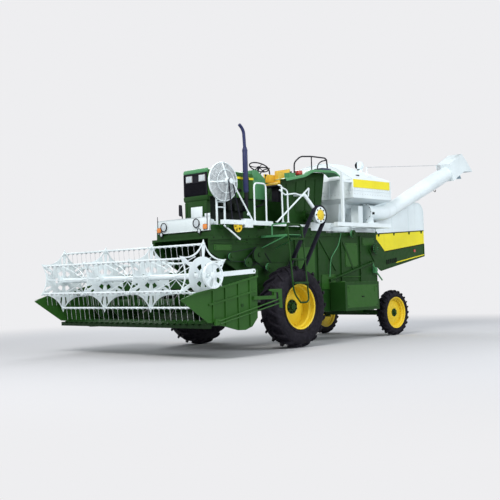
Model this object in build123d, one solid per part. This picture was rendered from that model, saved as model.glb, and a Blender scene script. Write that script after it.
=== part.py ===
from build123d import *
import math
import os

# A combine harvester driven by a farm tractor that sits, without its wheels, on the threshing body.
# Millimetres, +Z up, the header at -Y, the machine's left side at +X. Every place below is given with
# Y = 0 at the front axle and Z = 0 on the ground; the whole model is moved along Y when it is written.

# Running clearances
RUN_FIT = 0.3          # shaft in its bore, all round
PIN_FIT = 0.05         # hinge pin in its bore, all round
SHEET = 12             # pressed sheet with its folded edges

# Front wheels
FRONT_TRACK_X = 1307   # middle of the tyre from the centre line
FRONT_R = 760          # over the lugs
FRONT_LUG_H = 36
FRONT_LUGS = 18        # on each half of the tread
FRONT_LUG_W = 46
FRONT_HALF_W = 212
FRONT_RIM_R = 405
FRONT_DISC_X = -40     # wheel disc, from the middle of the tyre, minus is inwards
FRONT_HUB_R = 112
FRONT_SPINDLE_R = 50

# Wheels and pipes are many-sided, so that their facets stay few
WHEEL_SIDES = 32
PIPE_SIDES = 8

# Where a tyre's bead and the rim's flange lie, as shares of the tyre's half width
BEAD_SHARE = 0.66
FLANGE_SHARE = 0.87
SHOULDER_SHARE = 0.84
RIM_WALL = 10

# Rear wheels
WHEELBASE = 3663
REAR_TRACK_X = 980
REAR_R = 490
REAR_LUG_H = 22
REAR_LUGS = 18
REAR_LUG_W = 30
REAR_HALF_W = 104
REAR_RIM_R = 322
REAR_DISC_X = 22
REAR_HUB_R = 66
REAR_SPINDLE_R = 28
KINGPIN_X = 818
KINGPIN_R = 24
HITCH_R = 16           # tow pin's bore

# Axles
AXLE_TUBE_HALF = 80    # half the front beam's square section
FINAL_DRIVE_R = 170
REAR_BEAM_HALF_H = 55
REAR_BEAM_HALF_W = 50

# Threshing body
BODY_HALF_W = 777
BODY_TOP_FRONT = 2110
BODY_TOP_REAR = 2260
BODY_REAR_Y = WHEELBASE - 243
BODY_BELLY_Z = 590
CHEEK_FRONT_Y = -1600
CHEEK_T = 40
MOUTH_BACK_Y = -190    # back wall of the mouth that the feeder house enters
MOUTH_TOP_Z = 2040
WHEEL_BAY_X = 515      # the belly is this narrow beside the steered wheels
WHEEL_BAY_Y = WHEELBASE - 613
WHEEL_BAY_Z = 1060
RIB_W = 34
RIB_H = 26
RIBS = ((700, 880), (1400, 700), (BODY_REAR_Y - 1260, 620), (BODY_REAR_Y - 610, 620))   # (y, lower end)
SIDE_TANK_X = 1190     # outer face of the box on the left flank
SIDE_TANK_FRONT_Y = 1740

# What shows on the body's flanks, as (y, z) ends of bars and (y, z, radius) of pulleys
FLANK_BARS = (((1416, 2125), (1975, 1437)), ((2157, 2137), (2570, 1431)), 
              ((BODY_REAR_Y - 290, 1880), (BODY_REAR_Y - 90, 1610)))
FLANK_FOLDS = (1620, 1960)     # heights of the folds along the front cheek
FLANK_BAR_W = 44
FOLD_H = 24
FOLD_T = 14
TIE_ENDS = ((1748, 1231), (BODY_REAR_Y - 242, 1585))
TIE_R = 22
LEFT_PULLEYS = ((-1165, 1707, 78), (-733, 1601, 90), (-159, 1500, 90), (-450, 1740, 150),
                (BODY_REAR_Y - 960, 2190, 78), (BODY_REAR_Y - 120, 1886, 120))
SMALL_PULLEY_X = 905   # outer face of those pulleys
SMALL_PULLEY_T = 46
SMALL_PULLEY_SIDES = 16
GROOVE = 16

# Header, with X from the header's own middle
HEADER_CX = -60
HEADER_HALF_W = 2060
END_DEPTH = 40         # over the end panel's sheet and flange
END_SHEET_X = HEADER_HALF_W - END_DEPTH   # inner face of the end panel
BACK_TOP_Z = 1340
KNIFE_Y = -2790
KNIFE_Z = 575
GUARD_PITCH = 152.4
GUARD_HALF = 10
AUGER_Y = -2030
AUGER_Z = 860
AUGER_TUBE_R = 120
AUGER_FLIGHT_R = 268
AUGER_SHAFT_R = 30
FLIGHT_PITCH = 560     # run of one turn
FLIGHT_TURNS = 2.5     # on each side of the feeder's mouth
FLIGHT_STEPS = 16      # facets a turn
FLIGHT_T = 8
FINGER_PITCH = 140
FINGER_R = 9
TROUGH_R = 335
TROUGH_T = 15
BACK_Y = AUGER_Y + TROUGH_R   # inner face of the back sheet
TOP_BEAM_Z = 1450
MOUTH_HALF_W = 460     # opening in the back sheet
MOUTH_LOW_Z = 640
MOUTH_HIGH_Z = 1150
PANEL_REAR_Y = -1660   # rear edge of the end panels

# Knife drive, outside the left end panel
DRIVE_OUT = 22         # outer face of its plate, out from the end panel
DRIVE_Y = -1170
DRIVE_Z = 1090
ROD_OUT = 8
DRIVE_ROD_R = 12

# Feeder house and its pivot, which is also the header's lift axis
LIFT_Y = -420
LIFT_Z = 1600
FEEDER_HALF_W = 550
FEEDER_END_R = 200
FEEDER_WALL = 30
LIFT_SHAFT_R = 40

# Lift rams
RAM_X = 400
RAM_BASE_Y = -190
RAM_BASE_Z = 700
RAM_EYE_Y = -1400
RAM_EYE_Z = 660
RAM_BARREL_R = 50
RAM_ROD_R = 30
RAM_BARREL_L = 600
RAM_PIN_R = 22
RAM_EYE_R = 44
RAM_EYE_HALF = 32
RAM_EAR_T = 14
RAM_DRIFT = 18         # room round the rod's pin, as the eye drifts from it
ROD_EYE_R = 56

# Reel
REEL_Y = -2800
REEL_Z = 1360
REEL_STAR_R = 590
REEL_BAT_R = 510
REEL_BATS = 6
REEL_PHASE = 27        # degrees from +Y towards +Z of the first bat
REEL_TUBE_R = 48
REEL_SHAFT_R = 28
REEL_END_X = END_SHEET_X - 95
REEL_INNER_X = 640
STAR_T = 10
STAR_TIP_HALF = 38
STAR_SAG = 105         # depth of the curve between two points
STAR_SIDE_STEPS = 8    # facets of that curve
STAR_BORDER = 42       # width of plate between the curve and the crescent window
STAR_CRESCENT = 60     # depth of that window
STAR_WINDOW_IN = 110
STAR_WINDOW_OUT = 190
BAT_TUBE_R = 17        # journals in the star plates
BAT_BAR_HALF = 11      # half the square bar between them
TINE_LENGTH = 215
TINE_PITCH = 140
TINE_W = 8
PULLEY_R = 210
PULLEY_OUT_X = HEADER_CX + HEADER_HALF_W + 120   # outer face of the reel pulley
PULLEY_T = 44
PULLEY_WEB_IN = 14     # depth of the pulley's web below its rim
PULLEY_RIM = 24
PULLEY_SIDES = 24
PULLEY_WINDOWS = 5
ARM_X = END_SHEET_X + 10   # middle of a reel arm
ARM_HALF = 25          # half the arm's width
ARM_HALF_H = 38        # half its height
ARM_PIVOT_Y = -1750
ARM_PIVOT_Z = 1420
ARM_PIN_R = 16

# Deck, ladder and tractor
DECK_TOP = 2290
EDGE_X = 910           # beam along each edge of the deck, which carries the handrails
EDGE_TOP = 2370
TRACTOR_AXLE_Y = 1190
TRACTOR_AXLE_Z = 2530
PULLEY_X = 1020
PULLEY_HALF = 45
BELT_R = 200
BELT_LOW_Y = 300       # lower pulley of the main drive
BELT_LOW_Z = 1250
BONNET_FRONT_Y = -1200
BONNET_HALF_W = 340
BONNET_LOW_Z = 2850
BONNET_TOP_Z = 3400
GRILLE_SLOTS = 11
SLOT_PITCH = 52
LAMP_LOW_Z = 3185      # lower edge of the grille's lamps
FENDER_IN_X = 640
FENDER_OUT_X = 960
STEER_WHEEL_Y = 570
STEER_WHEEL_Z = 3550
STEER_WHEEL_R = 210
STEER_TILT = 24
STEER_BOSS_HALF = 13
EXHAUST_X = 430
EXHAUST_Y = -270
EXHAUST_TOP_Z = 4270
LADDER_TOP_X = 1480
LADDER_LOW_X = 1610
LADDER_TOP_Z = 2250
LADDER_LOW_Z = 820
LADDER_FRONT_Y = -290
LADDER_REAR_Y = 110
LADDER_TUBE_R = 16
STEP_Z = 2100          # step plate at the ladder's head

# Lamp board and dust screen
BOARD_Y = -1530
BOARD_HALF_W = 715
BOARD_LOW_Z = 2190
BOARD_TOP_Z = 2440
SCREEN_X = 790
SCREEN_Y = -1180
SCREEN_Z = 3080
SCREEN_R = 365
SCREEN_DEPTH = 150
SCREEN_SHAFT_R = 20

# Grain tank
TANK_HALF_W = 1240
TANK_FRONT_Y = 2030
TANK_REAR_Y = BODY_REAR_Y - 50
TANK_LOW_Z = 2900
TANK_SOFFIT_Z = 2810
TANK_FLOOR_Z = 2400
TANK_TOP_Z = 3290
TANK_WALL = 25
ROOF_TOP_Z = 3700
HATCH_HALF_W = 320
HATCH_FRONT_Y = TANK_FRONT_Y + 0.3 * (TANK_REAR_Y - TANK_FRONT_Y)
HATCH_REAR_Y = TANK_FRONT_Y + 0.69 * (TANK_REAR_Y - TANK_FRONT_Y)
HOPPER_HALF_W = 0.5 * TANK_HALF_W
HOPPER_FRONT_Y = TANK_FRONT_Y + 0.2 * (TANK_REAR_Y - TANK_FRONT_Y)
HOPPER_REAR_Y = TANK_FRONT_Y + 0.8 * (TANK_REAR_Y - TANK_FRONT_Y)
SILL_X = TANK_HALF_W - 40
SILL_FRONT_Y = 1500
SILL_LOW_Z = 2310
SILL_TOP_Z = 2390
POST_Y = TANK_FRONT_Y - 300
POST_TOP_Z = TANK_TOP_Z + 120
POST_HALF = 25

# Unloading auger
SWING_X = round(0.8065 * TANK_HALF_W)
SWING_Y = TANK_REAR_Y - 520
TURRET_Z = SILL_TOP_Z + 60   # face that the auger turns on
TUBE_R = 155
DRUM_Z = 2640
ELBOW_Y = TANK_REAR_Y + 60
TUBE_END_Y = ELBOW_Y + 2580
TUBE_END_Z = 3690
SPOUT_END_Y = TUBE_END_Y + 1100
SPOUT_HALF = 190

# Straw hood
HOOD_HALF_W = 770
HOOD_REAR_Y = BODY_REAR_Y + 1890
HOOD_TOP_Z = 2960
HOOD_SHEET = 20
HOOD_EDGE_R = 240      # rounding of the top's rear edge
BAND_FRONT_Z = 2211    # the coloured band's upper edge, front and rear
BAND_REAR_Z = 2321
BAND_LOW = ((HOOD_REAR_Y, 2014), (BODY_REAR_Y + 325, 1830), (BODY_REAR_Y, 2110))   # its lower edge, (y, z)

PART_FRONT_Y = -3390   # tips of the end panels
Y_SHIFT = -(PART_FRONT_Y + SPOUT_END_Y) / 2


def box(x, y, z):
    """A block between three (low, high) pairs."""
    size = [pair[1] - pair[0] for pair in (x, y, z)]
    middle = [(pair[1] + pair[0]) / 2 for pair in (x, y, z)]
    return Pos(*middle) * Box(*size)


def side_plate(outline, x0, x1):
    """An outline of (y, z) points, as thick as x0 to x1."""
    face = Plane.YZ * make_face(Polyline(*outline, close=True))
    return Pos(x0, 0, 0) * extrude(face, x1 - x0)


def front_plate(outline, y0, y1):
    """An outline of (x, z) points, as thick as y0 to y1."""
    face = Plane.XZ * make_face(Polyline(*outline, close=True))
    return Pos(0, y1, 0) * extrude(face, y1 - y0)


def shaft_x(x0, x1, y, z, r):
    """A round bar along X."""
    return Pos((x0 + x1) / 2, y, z) * Rot(0, 90, 0) * Cylinder(r, x1 - x0)


def shaft_y(x, y0, y1, z, r):
    """A round bar along Y."""
    return Pos(x, (y0 + y1) / 2, z) * Rot(90, 0, 0) * Cylinder(r, y1 - y0)


def shaft_z(x, y, z0, z1, r):
    """A round bar along Z."""
    return Pos(x, y, (z0 + z1) / 2) * Cylinder(r, z1 - z0)


def bar(start, end, r):
    """A round bar between two points."""
    a, b = Vector(*start), Vector(*end)
    run = b - a
    plane = Plane(origin=a, z_dir=run)
    return extrude(plane * Circle(r), run.length)


def pipe(points, r):
    """A bent tube along a polyline, many-sided and mitred at its corners."""
    path = Polyline(*points)
    first = Vector(*points[1]) - Vector(*points[0])
    section = Plane(origin=points[0], z_dir=first) * RegularPolygon(r, PIPE_SIDES)
    return sweep(section, path=path, transition=Transition.RIGHT)


def flat_faces(corners):
    """A flat face on three or more corners."""
    return Face(Wire.make_polygon(corners, close=True))


def facet_ring(profile, sides, centre=(0, 0, 0)):
    """A closed outline of (along X, radius) points, carried round the X axis in flat facets."""
    turn = 2 * math.pi / sides
    grow = 1 / math.cos(turn / 2)
    cx, cy, cz = centre
    rings = [[(cx + x, cy + r * grow * math.cos(turn * k), cz + r * grow * math.sin(turn * k))
              for k in range(sides)] for x, r in profile]
    faces = []
    for a, b in zip(rings, rings[1:] + rings[:1]):
        for k in range(sides):
            j = (k + 1) % sides
            faces.append(flat_faces([a[k], a[j], b[j], b[k]]))
    return Solid(Shell(faces))


def facet_shaft(x0, x1, y, z, r, sides=PIPE_SIDES):
    """A many-sided bar along X, with its corners at r."""
    return Pos(x0, y, z) * extrude(Plane.YZ * RegularPolygon(r, sides), x1 - x0)


def both_sides(shape):
    """The shape and its mirror image across the centre line."""
    return shape + mirror(shape, about=Plane.YZ)


def ring_x(profile, x=0, y=0, z=0):
    """An outline of (along X, radius) points, turned about an axis along X."""
    face = make_face(Polyline(*profile, close=True))
    return Pos(x, y, z) * revolve(face, Axis.X)


def tyre(half_w, outer_r, lug_h, rim_r, lugs, lug_w):
    """A tyre round the X axis with its middle at X = 0, and two rows of slanted lugs."""
    carcass_r = outer_r - lug_h
    shoulder = half_w * SHOULDER_SHARE
    bead = half_w * BEAD_SHARE
    grow = 1 / math.cos(math.pi / WHEEL_SIDES)
    profile = [(-bead, rim_r), (-half_w, (rim_r + carcass_r) / 2), (-shoulder, carcass_r - 0.6 * lug_h),
               (0, carcass_r / grow), (shoulder, carcass_r - 0.6 * lug_h), (half_w, (rim_r + carcass_r) / 2),
               (bead, rim_r)]
    carcass = facet_ring(profile, WHEEL_SIDES)
    reach = half_w - 4
    foot = outer_r - 2.2 * lug_h
    lug = side_lug(reach, foot, outer_r, lug_w)
    rows = []
    for k in range(lugs):
        rows.append(Rot(360 / lugs * k, 0, 0) * lug)
        rows.append(Rot(360 / lugs * (k + 0.5), 0, 0) * mirror(lug, about=Plane.YZ))
    return carcass + rows


def side_lug(reach, foot, top, width):
    """One lug on the tread's +X half, slanted back from the middle and lower at the shoulder."""
    slant = reach * 0.62
    low, high = foot, top * math.cos(math.radians(1))

    def corners(x, lean, height):
        return [(x, lean - width / 2, height), (x, lean + width / 2, height)]

    ends = []
    for x, lean, crest in ((6, 0, high), (reach, slant, high - 0.35 * (high - low))):
        ends.append(corners(x, lean, low) + corners(x, lean, crest)[::-1])
    inner, outer = ends
    faces = [flat_faces(inner), flat_faces(outer)]
    for k in range(4):
        j = (k + 1) % 4
        faces.append(flat_faces([inner[k], inner[j], outer[j], outer[k]]))
    return Solid(Shell(faces))


def rim(half_w, rim_r, disc_x, hub_r, bore_r, hub_in, hub_out):
    """A deep-dish rim round the X axis, its outer side towards +X, with the hub's blind bore inside."""
    edge = half_w * FLANGE_SHARE
    wall, lip = RIM_WALL, rim_r + SHEET
    section = [(-edge, rim_r - wall), (edge, rim_r - wall), (edge, lip), (edge - wall, lip),
               (edge - wall, rim_r), (-edge + wall, rim_r), (-edge + wall, lip), (-edge, lip)]
    barrel = facet_ring(section, WHEEL_SIDES)
    inner, outer = disc_x - 6, disc_x + 6
    dish = facet_ring([(disc_x - 34, rim_r - wall + 2), (disc_x - 22, rim_r - wall + 2), (outer, hub_r + 40),
                       (outer, hub_r / 2), (inner, hub_r / 2), (inner, hub_r + 40)], WHEEL_SIDES)
    hub = shaft_x(hub_in, hub_out, 0, 0, hub_r)
    bore = shaft_x(hub_in, inner, 0, 0, bore_r)
    return barrel + dish + hub - bore


def front_wheel_parts():
    """Tyre and rim of a left front wheel, at its place."""
    place = Pos(FRONT_TRACK_X, 0, FRONT_R)
    hub_in, hub_out = FRONT_DISC_X - 45, FRONT_DISC_X + 30
    wheel_rim = rim(FRONT_HALF_W, FRONT_RIM_R, FRONT_DISC_X, FRONT_HUB_R, FRONT_SPINDLE_R + RUN_FIT,
                    hub_in, hub_out)
    rubber = tyre(FRONT_HALF_W, FRONT_R, FRONT_LUG_H, FRONT_RIM_R, FRONT_LUGS, FRONT_LUG_W)
    return place * rubber, place * wheel_rim


def rear_wheel_parts():
    """Tyre and rim of a left rear wheel, at its place."""
    place = Pos(REAR_TRACK_X, WHEELBASE, REAR_R)
    hub_in, hub_out = REAR_DISC_X - 50, REAR_DISC_X + 24
    wheel_rim = rim(REAR_HALF_W, REAR_RIM_R, REAR_DISC_X, REAR_HUB_R, REAR_SPINDLE_R + RUN_FIT,
                    hub_in, hub_out)
    rubber = tyre(REAR_HALF_W, REAR_R, REAR_LUG_H, REAR_RIM_R, REAR_LUGS, REAR_LUG_W)
    return place * rubber, place * wheel_rim


def front_axle():
    """Square beam, final drives, spindles, and the stands that bolt it under the body."""
    z = FRONT_R
    flange_x = FRONT_TRACK_X + FRONT_DISC_X - 45 - 6
    spindle_end = FRONT_TRACK_X + FRONT_DISC_X - 8
    beam = box((-flange_x + 60, flange_x - 60), (-AXLE_TUBE_HALF, AXLE_TUBE_HALF),
               (z - AXLE_TUBE_HALF, z + AXLE_TUBE_HALF))
    drive = shaft_x(flange_x - 130, flange_x, 0, z, FINAL_DRIVE_R)
    spindle = shaft_x(flange_x - 10, spindle_end, 0, z, FRONT_SPINDLE_R)
    stand = box((560, 640), (-90, 90), (z + AXLE_TUBE_HALF - 5, body_belly_z(0)))
    lug = ram_lug(RAM_BASE_Y, RAM_BASE_Z, -AXLE_TUBE_HALF + 10)
    return beam + both_sides(drive) + both_sides(spindle) + both_sides(stand) + both_sides(lug)


def ram_lug(y, z, root_y):
    """Two ears and a pin that carry one end of the left lift ram; the ears reach back to root_y."""
    gap = RAM_EYE_HALF + 3
    out = gap + RAM_EAR_T
    span = (min(y - RAM_EYE_R, root_y), max(y + RAM_EYE_R, root_y))
    height = (z - RAM_EYE_R, z + RAM_EYE_R)
    ears = box((RAM_X - out, RAM_X - gap), span, height) + box((RAM_X + gap, RAM_X + out), span, height)
    return ears + shaft_x(RAM_X - out, RAM_X + out, y, z, RAM_PIN_R)


def body_belly_z(y):
    """Height of the body's belly above the front axle."""
    return 950 if y < 300 else BODY_BELLY_Z


def thresher_body():
    """Closed threshing body: one outline, with the feeder's mouth and the rear wheel bays cut away."""
    outline = [
        (CHEEK_FRONT_Y, BODY_TOP_FRONT - 30), (CHEEK_FRONT_Y, 1800), (-1000, 1500), (-400, 1200),
        (-250, body_belly_z(0)), (330, body_belly_z(0)), (1500, 640), (1660, BODY_BELLY_Z),
        (BODY_REAR_Y - 90, BODY_BELLY_Z), (BODY_REAR_Y, 800), (BODY_REAR_Y, BODY_TOP_REAR),
    ]
    body = side_plate(outline, -BODY_HALF_W, BODY_HALF_W)
    inside = BODY_HALF_W - CHEEK_T
    mouth = box((-inside, inside), (CHEEK_FRONT_Y - 10, MOUTH_BACK_Y), (900, MOUTH_TOP_Z))
    bay = box((WHEEL_BAY_X, BODY_HALF_W + 1), (WHEEL_BAY_Y, BODY_REAR_Y + 1),
              (BODY_BELLY_Z - 1, WHEEL_BAY_Z))
    body = body - mouth - both_sides(bay)
    shaft = shaft_x(-inside - 20, inside + 20, LIFT_Y, LIFT_Z, LIFT_SHAFT_R)
    ribs = []
    for y, low in RIBS:
        ribs.append(box((BODY_HALF_W - 5, BODY_HALF_W + RIB_H), (y - RIB_W / 2, y + RIB_W / 2),
                        (low, 2150)))
    rail = side_plate([(CHEEK_FRONT_Y, 2010), (BODY_REAR_Y, 2190), (BODY_REAR_Y, BODY_TOP_REAR),
                       (CHEEK_FRONT_Y, BODY_TOP_FRONT - 30)], BODY_HALF_W - 5, BODY_HALF_W + RIB_H)
    trim = ribs[0] + ribs[1:] + rail + flank_bars()
    return body + shaft + both_sides(trim) + flank_pulleys()


def flank_bars():
    """Diagonal stiffeners, cheek folds and the tie bar on the left flank."""
    root, face = BODY_HALF_W - 5, BODY_HALF_W + RIB_H
    bars = []
    for (y0, z0), (y1, z1) in FLANK_BARS:
        run = Vector(y1 - y0, z1 - z0).normalized()
        side = Vector(-run.Y, run.X) * FLANK_BAR_W / 2
        corners = [Vector(y0, z0) + side, Vector(y1, z1) + side, Vector(y1, z1) - side, Vector(y0, z0) - side]
        bars.append(side_plate([(c.X, c.Y) for c in corners], root, face - 8))
    for z in FLANK_FOLDS:
        front = CHEEK_FRONT_Y + (300 if z < 1800 else 0)
        bars.append(box((root, BODY_HALF_W + FOLD_T), (front, 660), (z - FOLD_H / 2, z + FOLD_H / 2)))
    x = face + TIE_R - 2
    tie = pipe([(x, *TIE_ENDS[0]), (x, *TIE_ENDS[1])], TIE_R)
    ends = [facet_shaft(root, x + TIE_R, y, z, 34) for y, z in TIE_ENDS]
    return bars[0] + bars[1:] + tie + ends


def flank_pulleys():
    """Drive pulleys on the left flank: grooved rims on plain shafts."""
    pulleys = []
    for y, z, r in LEFT_PULLEYS:
        outer = SMALL_PULLEY_X
        inner, middle = outer - SMALL_PULLEY_T, outer - SMALL_PULLEY_T / 2
        pulleys.append(facet_shaft(BODY_HALF_W - 5, outer + 16, y, z, 26))
        pulleys.append(facet_ring([(inner, 20), (outer, 20), (outer, r), (middle, r - GROOVE), (inner, r)],
                                  SMALL_PULLEY_SIDES, (0, y, z)))
    return pulleys[0] + pulleys[1:]


def side_tank():
    """Box on the left flank, from the wheel to the steered wheel's bay."""
    return box((BODY_HALF_W + RIB_H, SIDE_TANK_X), (SIDE_TANK_FRONT_Y, WHEEL_BAY_Y - 160), (600, 1180))


def rear_frame():
    """Channels under the rear of the body that carry the axle's pivot block and the tow hitch."""
    front, rear = WHEELBASE - 763, WHEELBASE + 327
    rail = box((180, 240), (front, rear), (BODY_BELLY_Z - 100, BODY_BELLY_Z))
    rail = rail - box((179, 241), (WHEELBASE - 70, WHEELBASE + 70), (BODY_BELLY_Z - 101, BODY_BELLY_Z - 30))
    joint = BODY_REAR_Y + 60
    cross = box((-240, 240), (joint, joint + 80), (BODY_BELLY_Z - 20, BODY_BELLY_Z + 50))
    pad = box((-180, 180), (BODY_REAR_Y - 90, joint), (BODY_BELLY_Z - 30, BODY_BELLY_Z))
    hitch = box((-240, 240), (rear - 60, rear), (BODY_BELLY_Z - 100, BODY_BELLY_Z))
    ears = box((-60, 60), (rear, rear + 120), (BODY_BELLY_Z - 85, BODY_BELLY_Z - 63)) \
        + box((-60, 60), (rear, rear + 120), (BODY_BELLY_Z - 27, BODY_BELLY_Z - 5))
    bore = shaft_z(0, rear + 70, BODY_BELLY_Z - 110, BODY_BELLY_Z + 10, HITCH_R)
    return both_sides(rail) + cross + pad + hitch + (ears - bore)


def rear_axle():
    """Beam with a boss at each end for the kingpin."""
    y, z = WHEELBASE, REAR_R
    half = KINGPIN_X - 40
    beam = box((-half, half), (y - REAR_BEAM_HALF_W, y + REAR_BEAM_HALF_W),
               (z - REAR_BEAM_HALF_H, z + REAR_BEAM_HALF_H))
    boss = shaft_z(KINGPIN_X, y, z - 70, z + 70, 52)
    bore = shaft_z(KINGPIN_X, y, z - 80, z + 80, KINGPIN_R + PIN_FIT)
    pivot = box((-240, 240), (y - 60, y + 60), (z + REAR_BEAM_HALF_H - 5, BODY_BELLY_Z - 30))
    return beam + both_sides(boss) - both_sides(bore) + pivot


def knuckle():
    """Left steering knuckle: kingpin, yoke round the axle's boss and spindle."""
    y, z = WHEELBASE, REAR_R
    kingpin = shaft_z(KINGPIN_X, y, z - 100, z + 100, KINGPIN_R)
    web_x = KINGPIN_X + 62
    hub_in = REAR_TRACK_X + REAR_DISC_X - 50
    arms = [box((KINGPIN_X - 42, web_x + 24), (y - 42, y + 42), (z + s * 88 - 12, z + s * 88 + 12))
            for s in (-1, 1)]
    web = box((web_x, web_x + 24), (y - 42, y + 42), (z - 100, z + 100))
    spindle = shaft_x(web_x + 10, REAR_TRACK_X + REAR_DISC_X - 7, y, z, REAR_SPINDLE_R)
    collar = shaft_x(web_x + 10, hub_in - 6, y, z, REAR_SPINDLE_R + 22)
    return kingpin + arms + web + spindle + collar


def hood_upper():
    """White top of the straw hood, with a rounded rear edge, open below."""
    y0, y1 = BODY_REAR_Y, HOOD_REAR_Y
    low0, low1 = BAND_FRONT_Z, BAND_REAR_Z

    def profile(gap):
        top = HOOD_TOP_Z - gap
        r = HOOD_EDGE_R - gap
        c = Vector(y1 - gap - r, top - r)
        corner = (c.X + r * math.sin(math.pi / 4), c.Y + r * math.cos(math.pi / 4))
        edges = [Line((y0 + gap, low0), (y1 - gap, low1)), Line((y1 - gap, low1), (y1 - gap, c.Y)),
                 ThreePointArc((y1 - gap, c.Y), corner, (c.X, top)),
                 Line((c.X, top), (y0 + gap, top)), Line((y0 + gap, top), (y0 + gap, low0))]
        return Plane.YZ * make_face(Wire(edges))

    outer = Pos(-HOOD_HALF_W, 0, 0) * extrude(profile(0), 2 * HOOD_HALF_W)
    inner_w = HOOD_HALF_W - HOOD_SHEET
    inner = Pos(-inner_w, 0, -1) * extrude(profile(HOOD_SHEET), 2 * inner_w)
    floor_cut = side_plate([(y0 + HOOD_SHEET, low0 - 100), (y1 - HOOD_SHEET, low1 - 100),
                            (y1 - HOOD_SHEET, low1 + 40), (y0 + HOOD_SHEET, low0 + 40)], -inner_w, inner_w)
    return outer - inner - floor_cut


def hood_flank(outline):
    """A pair of sheet flanks below the hood's top, with the outline of one side."""
    return both_sides(side_plate(outline, HOOD_HALF_W - HOOD_SHEET, HOOD_HALF_W))


def hood_band():
    """Coloured band along each flank."""
    return hood_flank([(BODY_REAR_Y, BAND_FRONT_Z), (HOOD_REAR_Y, BAND_REAR_Z), *BAND_LOW])


def hood_skirt():
    """Lower flanks, joined by the straw pan's rear bar."""
    seam = [(y, z - 1) for y, z in BAND_LOW[::-1]]
    flanks = hood_flank(seam + [(HOOD_REAR_Y, 1735), (BODY_REAR_Y + 140, 1410), (BODY_REAR_Y, 1500)])
    inner = HOOD_HALF_W - HOOD_SHEET
    bar_low = box((-inner, inner), (HOOD_REAR_Y - 60, HOOD_REAR_Y - 20), (1760, 1800))
    sill = box((-inner, inner), (BODY_REAR_Y, BODY_REAR_Y + 31), (1510, 2090))
    return flanks + bar_low + sill


def crossing(front_outline, side_outline):
    """What a front outline of (x, z) and a side outline of (y, z) share, each carried right through."""
    far = 9000
    return front_plate(front_outline, -far, far) & side_plate(side_outline, -far, far)


def tank_solid(gap):
    """The tank's outer form, or its inside when gap is the wall."""
    levels = [(TANK_FLOOR_Z + gap, HOPPER_HALF_W, HOPPER_FRONT_Y, HOPPER_REAR_Y),
              (TANK_SOFFIT_Z + gap, 1.29 * HOPPER_HALF_W, TANK_FRONT_Y + 90, TANK_REAR_Y - 90),
              (TANK_LOW_Z + gap, TANK_HALF_W, TANK_FRONT_Y, TANK_REAR_Y),
              (TANK_TOP_Z + (5 if gap else 0), TANK_HALF_W, TANK_FRONT_Y, TANK_REAR_Y)]
    right = [(half_w - gap, z) for z, half_w, front, rear in levels]
    ahead = [(front + gap, z) for z, half_w, front, rear in levels]
    behind = [(rear - gap, z) for z, half_w, front, rear in levels]
    return crossing(right + [(-x, z) for x, z in reversed(right)], ahead + behind[::-1])


def grain_tank():
    """Open-topped hopper, with feet down to the deck."""
    shell = tank_solid(0) - tank_solid(TANK_WALL)
    front, rear = HOPPER_FRONT_Y, HOPPER_REAR_Y
    below_top = side_plate([(front, 2000), (rear, 2000), (rear, body_top_z(rear)),
                            (front, body_top_z(front))], HOPPER_HALF_W - 220, HOPPER_HALF_W + 80)
    foot = box((HOPPER_HALF_W - 140, HOPPER_HALF_W - 20), (front + 20, rear - 20),
               (body_top_z(front) - 10, TANK_FLOOR_Z + 5)) - below_top
    return shell + both_sides(foot) + [tank_fold(TANK_LOW_Z + up) for up in (20, 170)]


def tank_fold(z):
    """Pressed fold that runs round the tank's walls."""
    half_w, front, rear = TANK_HALF_W, TANK_FRONT_Y, TANK_REAR_Y
    out, back = 8, 5
    band = box((-half_w - out, half_w + out), (front - out, rear + out), (z - 14, z + 14))
    return band - box((-half_w + back, half_w - back), (front + back, rear - back), (z - 15, z + 15))


def body_top_z(y):
    """Height of the body's sloping top."""
    front, rear = BODY_TOP_FRONT - 30, BODY_TOP_REAR
    return front + (rear - front) * (y - CHEEK_FRONT_Y) / (BODY_REAR_Y - CHEEK_FRONT_Y)


def tank_roof():
    """Hipped sheet roof with a flat rim round the hatch."""
    def hip(gap, low):
        front, rear = TANK_FRONT_Y + gap, TANK_REAR_Y - gap
        half, high = TANK_HALF_W - gap, ROOF_TOP_Z - gap
        return crossing([(-half, low), (half, low), (HATCH_HALF_W + 30, high), (-HATCH_HALF_W - 30, high)],
                        [(front, low), (rear, low), (HATCH_REAR_Y + 30, high), (HATCH_FRONT_Y - 30, high)])

    hole = box((-HATCH_HALF_W + 20, HATCH_HALF_W - 20), (HATCH_FRONT_Y + 20, HATCH_REAR_Y - 20),
               (TANK_TOP_Z, ROOF_TOP_Z + 10))
    hinge = [shaft_x(x - 40, x + 40, HATCH_REAR_Y + 16, ROOF_TOP_Z + 14, 10)
             + box((x - 40, x + 40), (HATCH_REAR_Y + 10, HATCH_REAR_Y + 28),
                   (ROOF_TOP_Z - 6, ROOF_TOP_Z + 10))
             for x in (-200, 200)]
    base = TANK_TOP_Z + 0.3
    rim_cut = box((-TANK_HALF_W + TANK_WALL, TANK_HALF_W - TANK_WALL),
                  (TANK_FRONT_Y + TANK_WALL, TANK_REAR_Y - TANK_WALL), (base - 1, base + 5))
    roof = hip(0, base) - hip(TANK_WALL, base + 5) - rim_cut - hole
    return roof + hinge[0] + hinge[1]


def tank_hatch():
    """Lid over the tank's filling and cleaning hole, hinged along its rear edge."""
    z = ROOF_TOP_Z + 0.5
    lid = box((-HATCH_HALF_W, HATCH_HALF_W), (HATCH_FRONT_Y, HATCH_REAR_Y), (z, z + 24))
    handle = box((-80, 80), (HATCH_FRONT_Y + 60, HATCH_FRONT_Y + 76), (z + 20, z + 52))
    return lid + handle


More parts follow.
